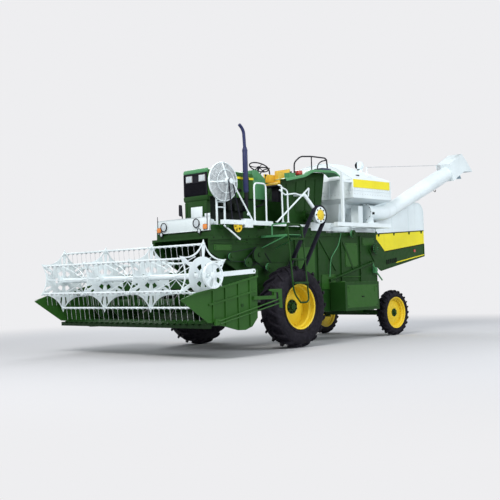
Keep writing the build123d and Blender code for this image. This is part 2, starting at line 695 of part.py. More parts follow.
def tank_frame():
    """Outrigger sills beside the tank, posts up to the tank's front, ties and feet down to the deck."""
    level = (SILL_LOW_Z, SILL_TOP_Z)
    sill = box((SILL_X - 60, SILL_X + 40), (SILL_FRONT_Y, TANK_REAR_Y - 10), level)
    width = (SILL_X - POST_HALF, SILL_X + POST_HALF)
    post = box(width, (POST_Y - POST_HALF, POST_Y + POST_HALF), (SILL_TOP_Z, POST_TOP_Z))
    brace = box(width, (POST_Y + 20, TANK_FRONT_Y - 0.3), (TANK_TOP_Z - 80, TANK_TOP_Z - 30))
    frame = both_sides(sill) + both_sides(post) + both_sides(brace)
    below_top = side_plate([(1400, 1800), (BODY_REAR_Y, 1800), (BODY_REAR_Y, BODY_TOP_REAR),
                            (1400, body_top_z(1400))], -BODY_HALF_W, BODY_HALF_W)
    for y in (TANK_FRONT_Y - 180, TANK_REAR_Y - 120):
        frame += box((-SILL_X + 60, SILL_X - 60), (y - 40, y + 40), level)
        frame += both_sides(box((640, 740), (y - 40, y + 40), (2200, SILL_LOW_Z + 5)) - below_top)
    return frame


def auger_base():
    """Turret under the unloading auger, standing on the left sill, and the column that feeds it."""
    plinth = box((SWING_X - 130, SILL_X - 60.3), (SWING_Y - 190, SWING_Y + 190), (SILL_LOW_Z, TURRET_Z - 30))
    ring = shaft_z(SWING_X, SWING_Y, TURRET_Z - 35, TURRET_Z, 120)
    column_x = (SWING_X - 130, SWING_X + 60)
    column = box(column_x, (SWING_Y - 420, SWING_Y - 270), (SILL_LOW_Z, DRUM_Z + 120))
    step = box(column_x, (SWING_Y - 300, SWING_Y - 180), (SILL_LOW_Z, SILL_TOP_Z + 10))
    return plinth + ring + column + step


def auger_tube():
    """Swinging unloading auger: turntable neck, drum, elbow, sloping tube and box spout."""
    neck = shaft_z(SWING_X, SWING_Y, TURRET_Z + RUN_FIT, DRUM_Z, 110)
    drum = shaft_y(SWING_X, SWING_Y - 110, ELBOW_Y, DRUM_Z, TUBE_R)
    flange = shaft_y(SWING_X, SWING_Y - 125, SWING_Y - 95, DRUM_Z, TUBE_R + 25)
    elbow = Pos(SWING_X, ELBOW_Y, DRUM_Z) * Sphere(TUBE_R)
    start, end = Vector(SWING_X, ELBOW_Y, DRUM_Z), Vector(SWING_X, TUBE_END_Y, TUBE_END_Z)
    tube = bar(start, end, TUBE_R)
    run = (end - start).normalized()
    up = Vector(0, -run.Z, run.Y)
    spout_len = (SPOUT_END_Y - SPOUT_HALF * abs(up.Y) - TUBE_END_Y) / run.Y
    place = Plane(origin=end - run * 60, x_dir=(1, 0, 0), z_dir=run)
    outer = extrude(place * Rectangle(2 * SPOUT_HALF, 2 * SPOUT_HALF), spout_len + 60)
    hollow = extrude((place.offset(90)) * Pos(0, -30) * Rectangle(2 * SPOUT_HALF - 50, 2 * SPOUT_HALF + 10),
                     spout_len + 60 - 90 - 25)
    return neck + drum + flange + elbow + tube + (outer - hollow)


def platform():
    """Step plate at the head of the ladder, its gussets and the guard rail in front of it."""
    inner = BODY_HALF_W + RIB_H + 0.3
    outer = LADDER_TOP_X - LADDER_TUBE_R - 4
    plate = box((inner, outer), (LADDER_FRONT_Y, LADDER_REAR_Y), (STEP_Z - 30, STEP_Z))
    gusset = [(inner, STEP_Z - 30), (outer, STEP_Z - 30), (outer, STEP_Z - 80), (inner, STEP_Z - 250)]
    frame = plate
    for y in (LADDER_FRONT_Y, LADDER_REAR_Y - 14):
        frame += front_plate(gusset, y, y + 14)
    guard = pipe([(1080, LADDER_FRONT_Y + 16, STEP_Z - 10), (1080, LADDER_FRONT_Y + 16, 2300),
                  (LADDER_TOP_X - 40, LADDER_FRONT_Y + 16, 2300)], 14)
    return frame + guard


def ladder_x(z):
    """The ladder's distance from the centre line, which grows downwards past the tyre."""
    lean = (LADDER_LOW_X - LADDER_TOP_X) / (LADDER_TOP_Z - LADDER_LOW_Z)
    return LADDER_TOP_X + lean * (LADDER_TOP_Z - z)


def ladder():
    """Ladder outside the front wheel, its foot leaning outwards, with box treads."""
    foot_z = LADDER_LOW_Z + 240
    foot = (ladder_x(LADDER_LOW_Z), LADDER_FRONT_Y + 100, LADDER_LOW_Z)
    front = pipe([foot, (ladder_x(foot_z), LADDER_FRONT_Y, foot_z), (ladder_x(2280), LADDER_FRONT_Y, 2280)],
                 LADDER_TUBE_R)
    back = pipe([foot, (ladder_x(LADDER_LOW_Z), LADDER_REAR_Y, LADDER_LOW_Z),
                 (ladder_x(2230), LADDER_REAR_Y, 2230), (LADDER_TOP_X - 10, LADDER_REAR_Y - 60, 2280),
                 (LADDER_TOP_X - 10, LADDER_FRONT_Y, 2280)], LADDER_TUBE_R)
    frame = front + back
    for z in (1200, 1630, 2010):
        x = ladder_x(z)
        frame += box((x - 26, x + 40), (LADDER_FRONT_Y, LADDER_REAR_Y), (z - 18, z + 18))
    for y in (LADDER_FRONT_Y + 12, LADDER_REAR_Y - 12):
        frame += box((LADDER_TOP_X - LADDER_TUBE_R - 3.7, LADDER_TOP_X + 5), (y - 12, y + 12),
                     (STEP_Z - 22, STEP_Z - 2))
    return frame


def handrails():
    """White beams along the deck's edges with tube hoops and a diagonal stay on the left."""
    rails = both_sides(box((EDGE_X - 45, EDGE_X + 45), (-1400, 900), (DECK_TOP + 0.3, EDGE_TOP)))
    for y0, y1, top in ((-580, -270, 3080), (90, 350, 3100)):
        rails += pipe([(EDGE_X, y0, EDGE_TOP - 5), (EDGE_X, y0, top - 70), (EDGE_X, y0 + 60, top),
                       (EDGE_X, y1 - 60, top), (EDGE_X, y1, top - 70), (EDGE_X, y1, EDGE_TOP - 5)], 15)
    return rails + pipe([(EDGE_X, 60, EDGE_TOP - 5), (EDGE_X, 820, 3000), (EDGE_X, 820, EDGE_TOP - 5)], 14)


def deck_beams():
    """Deck under the tractor, level on top, and the cross beams that reach out to its edge beams."""
    front, rear = CHEEK_FRONT_Y + 100, 1700
    deck = side_plate([(front, body_top_z(front)), (rear, body_top_z(rear)), (rear, DECK_TOP),
                       (front, DECK_TOP)], -BODY_HALF_W, BODY_HALF_W)
    for y in (-1300, -300, 300, 800):
        deck += both_sides(box((BODY_HALF_W - 5, EDGE_X + 45), (y - 30, y + 30), (DECK_TOP - 60, DECK_TOP)))
    return deck


def tractor_engine():
    """Engine, one plain block."""
    return box((-270, 270), (-1100, -200), (2400, 3200))


def tractor_frame():
    """Gearbox, rear axle housing and the rails that bolt the tractor to the deck."""
    rails = both_sides(box((290, 360), (-1180, 1500), (DECK_TOP, 2400)))
    gearbox = box((-240, 240), (-199, 1400), (2420, 2840))
    housing = shaft_x(-760, 760, TRACTOR_AXLE_Y, TRACTOR_AXLE_Z, 115)
    stands = both_sides(box((420, 600), (TRACTOR_AXLE_Y - 100, TRACTOR_AXLE_Y + 100), (DECK_TOP, 2450)))
    stub = shaft_x(755, PULLEY_X - PULLEY_HALF, TRACTOR_AXLE_Y, TRACTOR_AXLE_Z, 45)
    saddles = box((-300, 300), (-1000, -900), (2380, 2400)) + box((-300, 300), (700, 900), (2380, 2430))
    nose = box((-300, 300), (-1180, -1101), (2380, BONNET_LOW_Z))
    sump = box((-200, 200), (-1101, -600), (2380, 2399))
    return rails + gearbox + housing + stands + stub + saddles + nose + sump


def tractor_bonnet():
    """Bonnet with a crowned top and flanks down over the engine, open below."""
    w, top = BONNET_HALF_W, BONNET_TOP_Z
    outline = [(-w, BONNET_LOW_Z), (-w, top - 90), (-w + 60, top - 15), (0, top), (w - 60, top - 15),
               (w, top - 90), (w, BONNET_LOW_Z)]
    outer = front_plate(outline, BONNET_FRONT_Y + 30, 60)
    inner = front_plate([(x * 0.94, z - (22 if z > BONNET_LOW_Z else 30)) for x, z in outline],
                        BONNET_FRONT_Y + 60, 30)
    return outer - inner


def tractor_grille():
    """Radiator grille in front of the bonnet: slotted plate under a pair of square lamps."""
    half = BONNET_HALF_W - 20
    grille = box((-half, half), (BONNET_FRONT_Y + 6, BONNET_FRONT_Y + 30), (BONNET_LOW_Z, BONNET_TOP_Z - 30))
    for i in range(GRILLE_SLOTS):
        x = (i - (GRILLE_SLOTS - 1) / 2) * SLOT_PITCH
        grille -= box((x - SLOT_PITCH / 4, x + SLOT_PITCH / 4), (BONNET_FRONT_Y + 5, BONNET_FRONT_Y + 20),
                      (BONNET_LOW_Z + 40, LAMP_LOW_Z - 25))
    lamp = box((95, 260), (BONNET_FRONT_Y, BONNET_FRONT_Y + 10), (LAMP_LOW_Z, LAMP_LOW_Z + 110))
    return grille + both_sides(lamp)


def exhaust_pipe():
    """Upright exhaust with a silencer below and its end bent forward."""
    low = shaft_z(EXHAUST_X, EXHAUST_Y, 2600, 3810, 50)
    top = pipe([(EXHAUST_X, EXHAUST_Y, 3800), (EXHAUST_X, EXHAUST_Y - 20, EXHAUST_TOP_Z - 110),
                (EXHAUST_X, EXHAUST_Y - 140, EXHAUST_TOP_Z)], 34)
    elbow = box((270, EXHAUST_X), (EXHAUST_Y - 40, EXHAUST_Y + 40), (2600, 2680))
    return low + top + elbow


def dashboard():
    """Cowl behind the bonnet and the steering column."""
    cowl = side_plate([(60, 2840), (60, 3440), (220, 3440), (450, 3260), (450, 2840)], -290, 290)
    tilt = math.radians(STEER_TILT)
    reach = [STEER_BOSS_HALF + 0.3, 330]
    ends = [(0, STEER_WHEEL_Y - r * math.sin(tilt), STEER_WHEEL_Z - r * math.cos(tilt)) for r in reach]
    return cowl + bar(ends[0], ends[1], 22)


def steering_wheel():
    """Rim and three spokes, tilted towards the seat."""
    tilt = Pos(0, STEER_WHEEL_Y, STEER_WHEEL_Z) * Rot(-STEER_TILT, 0, 0)
    r, grip = STEER_WHEEL_R - 14, 14
    turns = [math.radians(a) for a in range(0, 360, 60)]
    section = [(grip * math.cos(a), r + grip * math.sin(a)) for a in turns]
    wheel = Rot(0, 90, 0) * facet_ring(section, 24) + Cylinder(38, 2 * STEER_BOSS_HALF)
    for angle in (90, 210, 330):
        wheel += Rot(0, 0, angle) * Pos((STEER_WHEEL_R - 14) / 2, 0, 0) * Box(STEER_WHEEL_R - 20, 22, 12)
    return tilt * wheel


def operator_seat():
    """Seat cushion and low back on a pedestal."""
    cushion = box((-230, 230), (900, 1290), (3170, 3260))
    back = side_plate([(1250, 3200), (1290, 3560), (1340, 3560), (1310, 3200)], -220, 220)
    pedestal = box((-110, 110), (1000, 1200), (2840, 3175))
    return cushion + back + pedestal


def fender_cap():
    """Top sheet of the left fender, from its low front over the knee to its rear."""
    top = [(110, 3170), (450, 3240), (970, 3360), (1100, 3440), (1830, 3470), (2000, 3370)]
    lower = [(y, z - 24) for y, z in reversed(top)]
    return side_plate(top + lower, FENDER_IN_X, FENDER_OUT_X)


def fenders():
    """Rear fenders of the tractor: inner panel, top and outward visor."""
    panel = side_plate([(140, 3155), (450, 3225), (970, 3345), (1100, 3425), (1830, 3455), (1650, 2460),
                        (420, 2400)], FENDER_IN_X, FENDER_IN_X + 20)
    hole = shaft_x(FENDER_IN_X - 1, FENDER_IN_X + 21, TRACTOR_AXLE_Y, TRACTOR_AXLE_Z, 120)
    foot = box((FENDER_IN_X, FENDER_IN_X + 20), (420, 640), (DECK_TOP, 2450))
    return both_sides(fender_cap() + (panel + foot - hole))


def fender_rails():
    """Hand hoops that stand on the fenders."""
    x = (FENDER_IN_X + FENDER_OUT_X) / 2
    hoop = pipe([(x, 620, 3265), (x, 620, 3560), (x, 780, 3740), (x, 1700, 3740), (x, 1780, 3650),
                 (x, 1780, 3455)], 14)
    return both_sides(hoop - fender_cap())


def drive_pulley():
    """Belt pulley on the tractor's left axle stub."""
    h, r = PULLEY_HALF, BELT_R
    profile = [(-h, 0), (h, 0), (h, r - 4), (h - 4, r), (-h + 4, r), (-h, r - 4)]
    return ring_x(profile, PULLEY_X, TRACTOR_AXLE_Y, TRACTOR_AXLE_Z)


def drive_belts():
    """Belt runs from the tractor's pulley to the threshing cylinder's, with that pulley and its shaft."""
    upper = Vector(TRACTOR_AXLE_Y, TRACTOR_AXLE_Z)
    lower = Vector(BELT_LOW_Y, BELT_LOW_Z)
    along = (lower - upper).normalized()
    across = Vector(-along.Y, along.X)
    drive = shaft_x(PULLEY_X - PULLEY_HALF, PULLEY_X + PULLEY_HALF, BELT_LOW_Y, BELT_LOW_Z, BELT_R - 1)
    for s in (-1, 1):
        inner, outer = across * (s * (BELT_R - 2)), across * (s * (BELT_R + 14))
        corners = [upper + across * (s * (BELT_R + 0.5)), upper + outer, lower + outer, lower + inner]
        half = PULLEY_HALF - 6
        drive += side_plate([(c.X, c.Y) for c in corners], PULLEY_X - half, PULLEY_X + half)
    return drive + shaft_x(BODY_HALF_W, PULLEY_X, BELT_LOW_Y, BELT_LOW_Z, 32)


def lamp_board():
    """Board across the front of the deck with its lamps and mirror, on two beams."""
    board = box((-BOARD_HALF_W, BOARD_HALF_W), (BOARD_Y, BOARD_Y + 30), (BOARD_LOW_Z, BOARD_TOP_Z))
    board += box((230, 510), (BOARD_Y, BOARD_Y + 30), (BOARD_TOP_Z - 5, 2630))
    board += both_sides(box((500, 580), (BOARD_Y + 25, -1180), (DECK_TOP, EDGE_TOP)))
    for x in (-530, 370):
        board += shaft_y(x, BOARD_Y - 24, BOARD_Y + 5, 2320, 85)
    arm = pipe([(-690, BOARD_Y + 20, BOARD_TOP_Z - 5), (-690, BOARD_Y + 20, 2740)], 14)
    return board + arm + box((-770, -640), (BOARD_Y + 2, BOARD_Y + 38), (2520, 2760))


def screen_stand():
    """Two posts, a cross bar and the dust screen's shaft."""
    x = SCREEN_X - SCREEN_DEPTH / 2 - 60
    stand = box((x - 20, x + 20), (SCREEN_Y - 120, SCREEN_Y + 120), (SCREEN_Z - 40, SCREEN_Z + 40))
    for y in (SCREEN_Y - 100, SCREEN_Y + 100):
        stand += box((x - 20, x + 20), (y - 20, y + 20), (DECK_TOP, SCREEN_Z + 40))
    return stand + shaft_x(x, SCREEN_X + SCREEN_DEPTH / 2 + 40, SCREEN_Y, SCREEN_Z, SCREEN_SHAFT_R)


def screen_drum():
    """Round dust screen: rim, perforated face and cross bars, open towards the bonnet."""
    h = SCREEN_DEPTH / 2
    drum = shaft_x(-h, h, 0, 0, SCREEN_R) - shaft_x(-h - 1, h - 20, 0, 0, SCREEN_R - 20)
    hub = shaft_x(-20, h + 25, 0, 0, 60)
    spokes = box((h - 25, h + 12), (-SCREEN_R + 8, SCREEN_R - 8), (-16, 16)) \
        + box((h - 25, h + 12), (-16, 16), (-SCREEN_R + 8, SCREEN_R - 8))
    bore = shaft_x(-h - 60, h + 60, 0, 0, SCREEN_SHAFT_R + RUN_FIT)
    return Pos(SCREEN_X, SCREEN_Y, SCREEN_Z) * (drum + hub + spokes - bore)


def feeder_outline(inset):
    """Side outline of the feeder house: a round end about the lift axis, a duct down to the back sheet."""
    r = FEEDER_END_R - inset
    y0 = BACK_Y + TROUGH_T
    top_front = (y0 - (5 if inset else 0), MOUTH_HIGH_Z + 90 - inset)
    low_front = (y0 - (5 if inset else 0), MOUTH_LOW_Z - 30 + inset)
    lean = math.radians(25)
    top_end = (LIFT_Y - r * math.sin(lean), LIFT_Z + r * math.cos(lean))
    low_end = (LIFT_Y - r * math.sin(lean) * 0.2, LIFT_Z - r * math.cos(lean * 0.2))
    back = (LIFT_Y + r, LIFT_Z)
    edges = [Line(low_front, low_end), ThreePointArc(low_end, back, top_end), Line(top_end, top_front),
             Line(top_front, low_front)]
    return Plane.YZ * make_face(Wire(edges))


def feeder_house():
    """Sheet duct from the header's back to the body's mouth, pivoted on the lift shaft."""
    outer = Pos(-FEEDER_HALF_W, 0, 0) * extrude(feeder_outline(0), 2 * FEEDER_HALF_W)
    inner_w = FEEDER_HALF_W - FEEDER_WALL
    inner = Pos(-inner_w, 0, 0) * extrude(feeder_outline(FEEDER_WALL), 2 * inner_w)
    bore = shaft_x(-FEEDER_HALF_W - 1, FEEDER_HALF_W + 1, LIFT_Y, LIFT_Z, LIFT_SHAFT_R + RUN_FIT)
    gap = RAM_EYE_HALF + 3
    out = gap + RAM_EAR_T
    lug = box((RAM_X - out, RAM_X + out), (RAM_EYE_Y - RAM_EYE_R, RAM_EYE_Y + RAM_EYE_R),
              (RAM_EYE_Z - RAM_EYE_R, 860))
    slot = box((RAM_X - gap, RAM_X + gap), (RAM_EYE_Y - 100, RAM_EYE_Y + 100),
               (RAM_EYE_Z - 100, RAM_EYE_Z + ROD_EYE_R + RAM_DRIFT + 10))
    pin = shaft_x(RAM_X - out, RAM_X + out, RAM_EYE_Y, RAM_EYE_Z, RAM_PIN_R)
    lugs = both_sides(lug - slot + pin)
    return outer + lugs - inner - bore


def header_trough():
    """Knife table, round auger trough and back sheet as one bent sheet, with a top beam."""
    def bend(r):
        c = (AUGER_Y, AUGER_Z)
        front = (c[0] - r * math.sin(math.pi / 4), c[1] - r * math.cos(math.pi / 4))
        low = (c[0] + r * math.sin(math.pi / 8), c[1] - r * math.cos(math.pi / 8))
        rear = (c[0] + r, c[1])
        return front, low, rear

    r0, r1 = TROUGH_R, TROUGH_R + TROUGH_T
    f0, l0, b0 = bend(r0)
    f1, l1, b1 = bend(r1)
    tip = (KNIFE_Y + 60, KNIFE_Z + 20)
    tip_low = (tip[0], tip[1] - TROUGH_T)
    edges = [Line(tip, f0), ThreePointArc(f0, l0, b0), Line(b0, (b0[0], BACK_TOP_Z)),
             Line((b0[0], BACK_TOP_Z), (b1[0], BACK_TOP_Z)), Line((b1[0], BACK_TOP_Z), b1),
             ThreePointArc(b1, l1, f1), Line(f1, tip_low), Line(tip_low, tip)]
    face = Plane.YZ * make_face(Wire(edges))
    half = END_SHEET_X - 0.3
    sheet = Pos(-half, 0, 0) * extrude(face, 2 * half)
    beam = box((-half, half), (BACK_Y - 5, BACK_Y + 75), (BACK_TOP_Z - 20, TOP_BEAM_Z))
    mouth = box((-MOUTH_HALF_W - HEADER_CX, MOUTH_HALF_W - HEADER_CX), (BACK_Y - 40, BACK_Y + 40),
                (MOUTH_LOW_Z, MOUTH_HIGH_Z))
    return Pos(HEADER_CX, 0, 0) * (sheet + beam - mouth)


def header_ends():
    """End panels with their top flange and ribs."""
    outline = [(PART_FRONT_Y, 990), (-2810, 610), (-2710, 600), (-2140, 455), (-1960, 450), (-1800, 500),
               (PANEL_REAR_Y - 5, 640), (PANEL_REAR_Y, BACK_TOP_Z + 10), (-2460, 1190), (-3090, 1090)]
    sheet = side_plate(outline, END_SHEET_X, END_SHEET_X + SHEET)
    edge = [(-3300, 1022), (-3090, 1062), (-2460, 1160), (PANEL_REAR_Y, 1320), (PANEL_REAR_Y, 1350),
            (-2460, 1190), (-3090, 1090), (-3370, 1006)]
    flange = side_plate(edge, END_SHEET_X, HEADER_HALF_W)
    ribs = side_plate([(-2790, 880), (-1690, 1080), (-1690, 1110), (-2800, 908)],
                      END_SHEET_X, HEADER_HALF_W - 5)
    for y, low, high in ((-2700, 620, 1145), (-2420, 545, 1195), (-2120, 470, 1255), (-1850, 500, 1305)):
        ribs += box((END_SHEET_X, HEADER_HALF_W - 8), (y - 15, y + 15), (low, high))
    bracket = side_plate([(ARM_PIVOT_Y - 60, 1310), (ARM_PIVOT_Y + 50, 1310),
                          (ARM_PIVOT_Y + 30, ARM_PIVOT_Z + 30), (ARM_PIVOT_Y - 30, ARM_PIVOT_Z + 30)],
                         END_SHEET_X - 30, END_SHEET_X - 20)
    web = box((END_SHEET_X - 30, END_SHEET_X + 5), (ARM_PIVOT_Y - 60, ARM_PIVOT_Y + 50), (1290, 1320))
    pin = shaft_x(END_SHEET_X - 30, HEADER_HALF_W - 6, ARM_PIVOT_Y, ARM_PIVOT_Z, ARM_PIN_R)
    bearing = shaft_x(END_SHEET_X - 30, END_SHEET_X + 5, AUGER_Y, AUGER_Z, 70) \
        - shaft_x(END_SHEET_X - 31, END_SHEET_X + 40, AUGER_Y, AUGER_Z, AUGER_SHAFT_R + RUN_FIT)
    end = sheet - shaft_x(END_SHEET_X - 1, END_SHEET_X + 40, AUGER_Y, AUGER_Z, AUGER_SHAFT_R + RUN_FIT)
    return Pos(HEADER_CX, 0, 0) * both_sides(end + flange + ribs + bracket + web + pin + bearing)


def cutter_bar():
    """Knife back and guard bar along the front of the table."""
    half = END_SHEET_X - 0.3
    bar_body = box((-half, half), (KNIFE_Y - 20, KNIFE_Y + 59.7), (KNIFE_Z - 60, KNIFE_Z + 10))
    tip, heel = KNIFE_Y - 90, KNIFE_Y - 15
    guard = side_plate([(tip, KNIFE_Z + 2), (heel, KNIFE_Z + 22), (KNIFE_Y + 20, KNIFE_Z + 8),
                        (heel, KNIFE_Z - 14)], -GUARD_HALF, GUARD_HALF)
    count = int((half - 60) // GUARD_PITCH)
    guards = [Pos(i * GUARD_PITCH, 0, 0) * guard for i in range(-count, count + 1)]
    return Pos(HEADER_CX, 0, 0) * (bar_body + guards)


def knife_drive():
    """Knife drive outside the left end panel: hooked plate on an outrigger, two rods and a rocker."""
    x = HEADER_CX + HEADER_HALF_W + DRIVE_OUT
    y, z = DRIVE_Y, DRIVE_Z
    plate = side_plate([(y - 250, z + 20), (y + 70, z + 20), (y + 80, z - 310), (y, z - 300),
                        (y - 20, z - 40), (y - 250, z - 10)], x - SHEET, x)
    heel = x - DRIVE_OUT - END_DEPTH + SHEET
    outrigger = box((heel, x - SHEET + 2), (PANEL_REAR_Y - 120, y - 60), (z - 150, z - 90))
    strut = box((x - 60, x - SHEET + 2), (y - 120, y - 60), (z - 150, z))
    rods = pipe([(x + ROD_OUT, y + 10, z - 150), (x + ROD_OUT, KNIFE_Y + 150, KNIFE_Z + 50)], DRIVE_ROD_R)
    rods += pipe([(x + ROD_OUT, y + 10, z - 220), (x + ROD_OUT, KNIFE_Y + 190, KNIFE_Z + 10)], DRIVE_ROD_R)
    pins = [facet_shaft(x - 5, x + ROD_OUT + DRIVE_ROD_R, y + 10, z - drop, 22) for drop in (150, 220)]
    knee = box((x - DRIVE_OUT - 8, x + ROD_OUT), (KNIFE_Y + 90, KNIFE_Y + 210), (KNIFE_Z - 10, KNIFE_Z + 90))
    return plate + outrigger + strut + rods + pins + knee


def flight(side):
    """Helical flight from one end of the auger tube inwards, wound so that both sides feed the middle."""
    end = END_SHEET_X - 50
    inner, outer = AUGER_TUBE_R - 4, AUGER_FLIGHT_R
    steps = int(FLIGHT_STEPS * FLIGHT_TURNS)
    rings = []
    for k in range(steps + 1):
        a = 2 * math.pi * (k + 0.5) / FLIGHT_STEPS
        x = side * (end - FLIGHT_PITCH * k / FLIGHT_STEPS)
        c, s = math.cos(a), math.sin(a)
        back = x - side * FLIGHT_T
        rings.append([(x, inner * c, inner * s), (x, outer * c, outer * s), (back, outer * c, outer * s),
                      (back, inner * c, inner * s)])
    faces = [flat_faces(rings[0]), flat_faces(rings[-1])]
    for a, b in zip(rings, rings[1:]):
        for k in range(4):
            j = (k + 1) % 4
            faces += [flat_faces([a[k], a[j], b[j]]), flat_faces([a[k], b[j], b[k]])]
    return Solid(Shell(faces))


def header_auger():
    """Feed auger: tube, end shafts, two flights that meet before the mouth, and retracting fingers there."""
    half = END_SHEET_X - 45
    auger = facet_shaft(-half, half, 0, 0, AUGER_TUBE_R, FLIGHT_STEPS)
    auger += shaft_x(-END_SHEET_X - 20, END_SHEET_X + 20, 0, 0, AUGER_SHAFT_R)
    auger = auger + flight(1) + flight(-1)
    fingers = []
    for k in range(-3, 4):
        x, a = k * FINGER_PITCH, math.radians(75 * k)
        root, tip = AUGER_TUBE_R - 10, AUGER_FLIGHT_R - 8
        ends = [(x, r * math.cos(a), r * math.sin(a)) for r in (root, tip)]
        fingers.append(pipe(ends, FINGER_R))
    return Pos(HEADER_CX, AUGER_Y, AUGER_Z) * (auger + fingers)


def reel_arms():
    """Square tube arms with the reel's bearings, pivoted at the back of the end panels."""
    pivot, reel = Vector(ARM_PIVOT_Y, ARM_PIVOT_Z), Vector(REEL_Y, REEL_Z)
    along = (reel - pivot).normalized()
    across = Vector(-along.Y, along.X) * ARM_HALF_H
    back, front = pivot - along * 30, reel + along * 10
    corners = [back + across, front + across, front - across, back - across]
    arm = side_plate([(c.X, c.Y) for c in corners], ARM_X - ARM_HALF, ARM_X + ARM_HALF)
    arm += shaft_x(ARM_X - ARM_HALF, ARM_X + ARM_HALF, ARM_PIVOT_Y, ARM_PIVOT_Z, 40)
    arm += shaft_x(ARM_X - ARM_HALF - 8, ARM_X + ARM_HALF, REEL_Y, REEL_Z, 56)
    arm -= shaft_x(ARM_X - 80, ARM_X + 80, ARM_PIVOT_Y, ARM_PIVOT_Z, ARM_PIN_R + PIN_FIT)
    arm -= shaft_x(ARM_X - 80, ARM_X + 80, REEL_Y, REEL_Z, REEL_SHAFT_R + RUN_FIT)
    return Pos(HEADER_CX, 0, 0) * both_sides(arm)


def reel_angle(i):
    """Angle of a bat about the reel axis, in radians from +Y towards +Z."""
    return math.radians(REEL_PHASE + 360 / REEL_BATS * i)


def star_side(i, start, end, depth, sag):
    """Points along the hollow side between two star tips, from one share of its length to another."""
    tips = [Vector(math.cos(reel_angle(k)), math.sin(reel_angle(k))) * REEL_STAR_R for k in (i, i + 1)]
    side, span = (tips[1] - tips[0]).normalized(), (tips[1] - tips[0]).length
    inward = Vector(-side.Y, side.X)
    points = []
    for k in range(STAR_SIDE_STEPS + 1):
        share = start + (end - start) * k / STAR_SIDE_STEPS
        edge = (share - start) * (end - share) / (end - start) ** 2
        bow = 4 * share * (1 - share) * STAR_SAG + 4 * edge * (sag - STAR_SAG)
        along = STAR_TIP_HALF + (span - 2 * STAR_TIP_HALF) * share
        point = tips[0] + side * along + inward * (depth + bow)
        points.append((point.X, point.Y))
    return points


def star_plate():
    """Six-pointed star with hollowed sides, crescent windows and a hole in each point for the bat tube."""
    outline = []
    for i in range(REEL_BATS):
        outline += star_side(i, 0, 1, 0, STAR_SAG)
    plate = side_plate(outline, -STAR_T / 2, STAR_T / 2)
    hole_r = (BAT_TUBE_R + RUN_FIT) / math.cos(math.pi / PIPE_SIDES)
    for i in range(REEL_BATS):
        a, m = reel_angle(i), reel_angle(i + 0.5)
        plate -= facet_shaft(-20, 20, REEL_BAT_R * math.cos(a), REEL_BAT_R * math.sin(a), hole_r)
        crescent = star_side(i, 0.2, 0.8, STAR_BORDER, STAR_SAG)
        crescent += star_side(i, 0.2, 0.8, STAR_BORDER, STAR_SAG + STAR_CRESCENT)[-2:0:-1]
        plate -= side_plate(crescent, -20, 20)
        corners = ((STAR_WINDOW_IN, -0.2), (STAR_WINDOW_OUT, -0.16), (STAR_WINDOW_OUT, 0.16),
                   (STAR_WINDOW_IN, 0.2))
        window = [(r * math.cos(m + t), r * math.sin(m + t)) for r, t in corners]
        plate -= side_plate(window, -20, 20)
    return plate


def star_places():
    """Places of the star plates along the reel."""
    return (-REEL_END_X, -REEL_INNER_X, REEL_INNER_X, REEL_END_X)


def reel_body():
    """Reel tube, shafts, star plates and the drive pulley."""
    plate = star_plate()
    reel = shaft_x(-REEL_END_X, REEL_END_X, 0, 0, REEL_TUBE_R)
    for x in star_places():
        reel += Pos(x, 0, 0) * plate
    out = PULLEY_OUT_X - HEADER_CX
    reel += shaft_x(-ARM_X - ARM_HALF + 2, out, 0, 0, REEL_SHAFT_R)
    inner, web = out - PULLEY_T, PULLEY_WEB_IN
    wheel = facet_ring([(inner, PULLEY_R), (out, PULLEY_R), (out, PULLEY_R - PULLEY_RIM),
                        (out - web, PULLEY_R - PULLEY_RIM), (out - web, REEL_SHAFT_R - 5),
                        (inner + web, REEL_SHAFT_R - 5), (inner + web, PULLEY_R - PULLEY_RIM),
                        (inner, PULLEY_R - PULLEY_RIM)], PULLEY_SIDES)
    for i in range(PULLEY_WINDOWS):
        a = 2 * math.pi / PULLEY_WINDOWS * i
        window = [(r * math.cos(a + t), r * math.sin(a + t)) for r, t in
                  ((70, -0.4), (160, -0.42), (160, 0.42), (70, 0.4))]
        wheel -= side_plate(window, inner, out)
    reel += wheel + facet_shaft(inner - 4, out, 0, 0, 50, PULLEY_SIDES)
    return Pos(HEADER_CX, REEL_Y, REEL_Z) * reel


def reel_bat(i):
    """One bat: square bar with journals in the star plates, and hanging tines."""
    a = reel_angle(i)
    half = REEL_END_X + 25
    bat = box((-half + 20, half - 20), (-BAT_BAR_HALF, BAT_BAR_HALF), (-BAT_BAR_HALF, BAT_BAR_HALF))
    for x in star_places():
        journal = facet_shaft(x - 25, x + 25, 0, 0, BAT_TUBE_R)
        bat += Rot(180 / PIPE_SIDES, 0, 0) * journal
    count = int((REEL_END_X - 60) // TINE_PITCH)
    tines = []
    for n in range(-count, count + 1):
        x = n * TINE_PITCH
        if min(abs(x - s) for s in star_places()) > STAR_T + 25:
            tines.append(box((x - TINE_W / 2, x + TINE_W / 2), (-TINE_W / 2, TINE_W / 2), (-TINE_LENGTH, -5)))
    place = Pos(HEADER_CX, REEL_Y + REEL_BAT_R * math.cos(a), REEL_Z + REEL_BAT_R * math.sin(a))
    return place * (bat + tines)


def ram_unit():
    """Direction and length of the lift rams at rest."""
    run = Vector(0, RAM_EYE_Y - RAM_BASE_Y, RAM_EYE_Z - RAM_BASE_Z)
    return run.normalized(), run.length


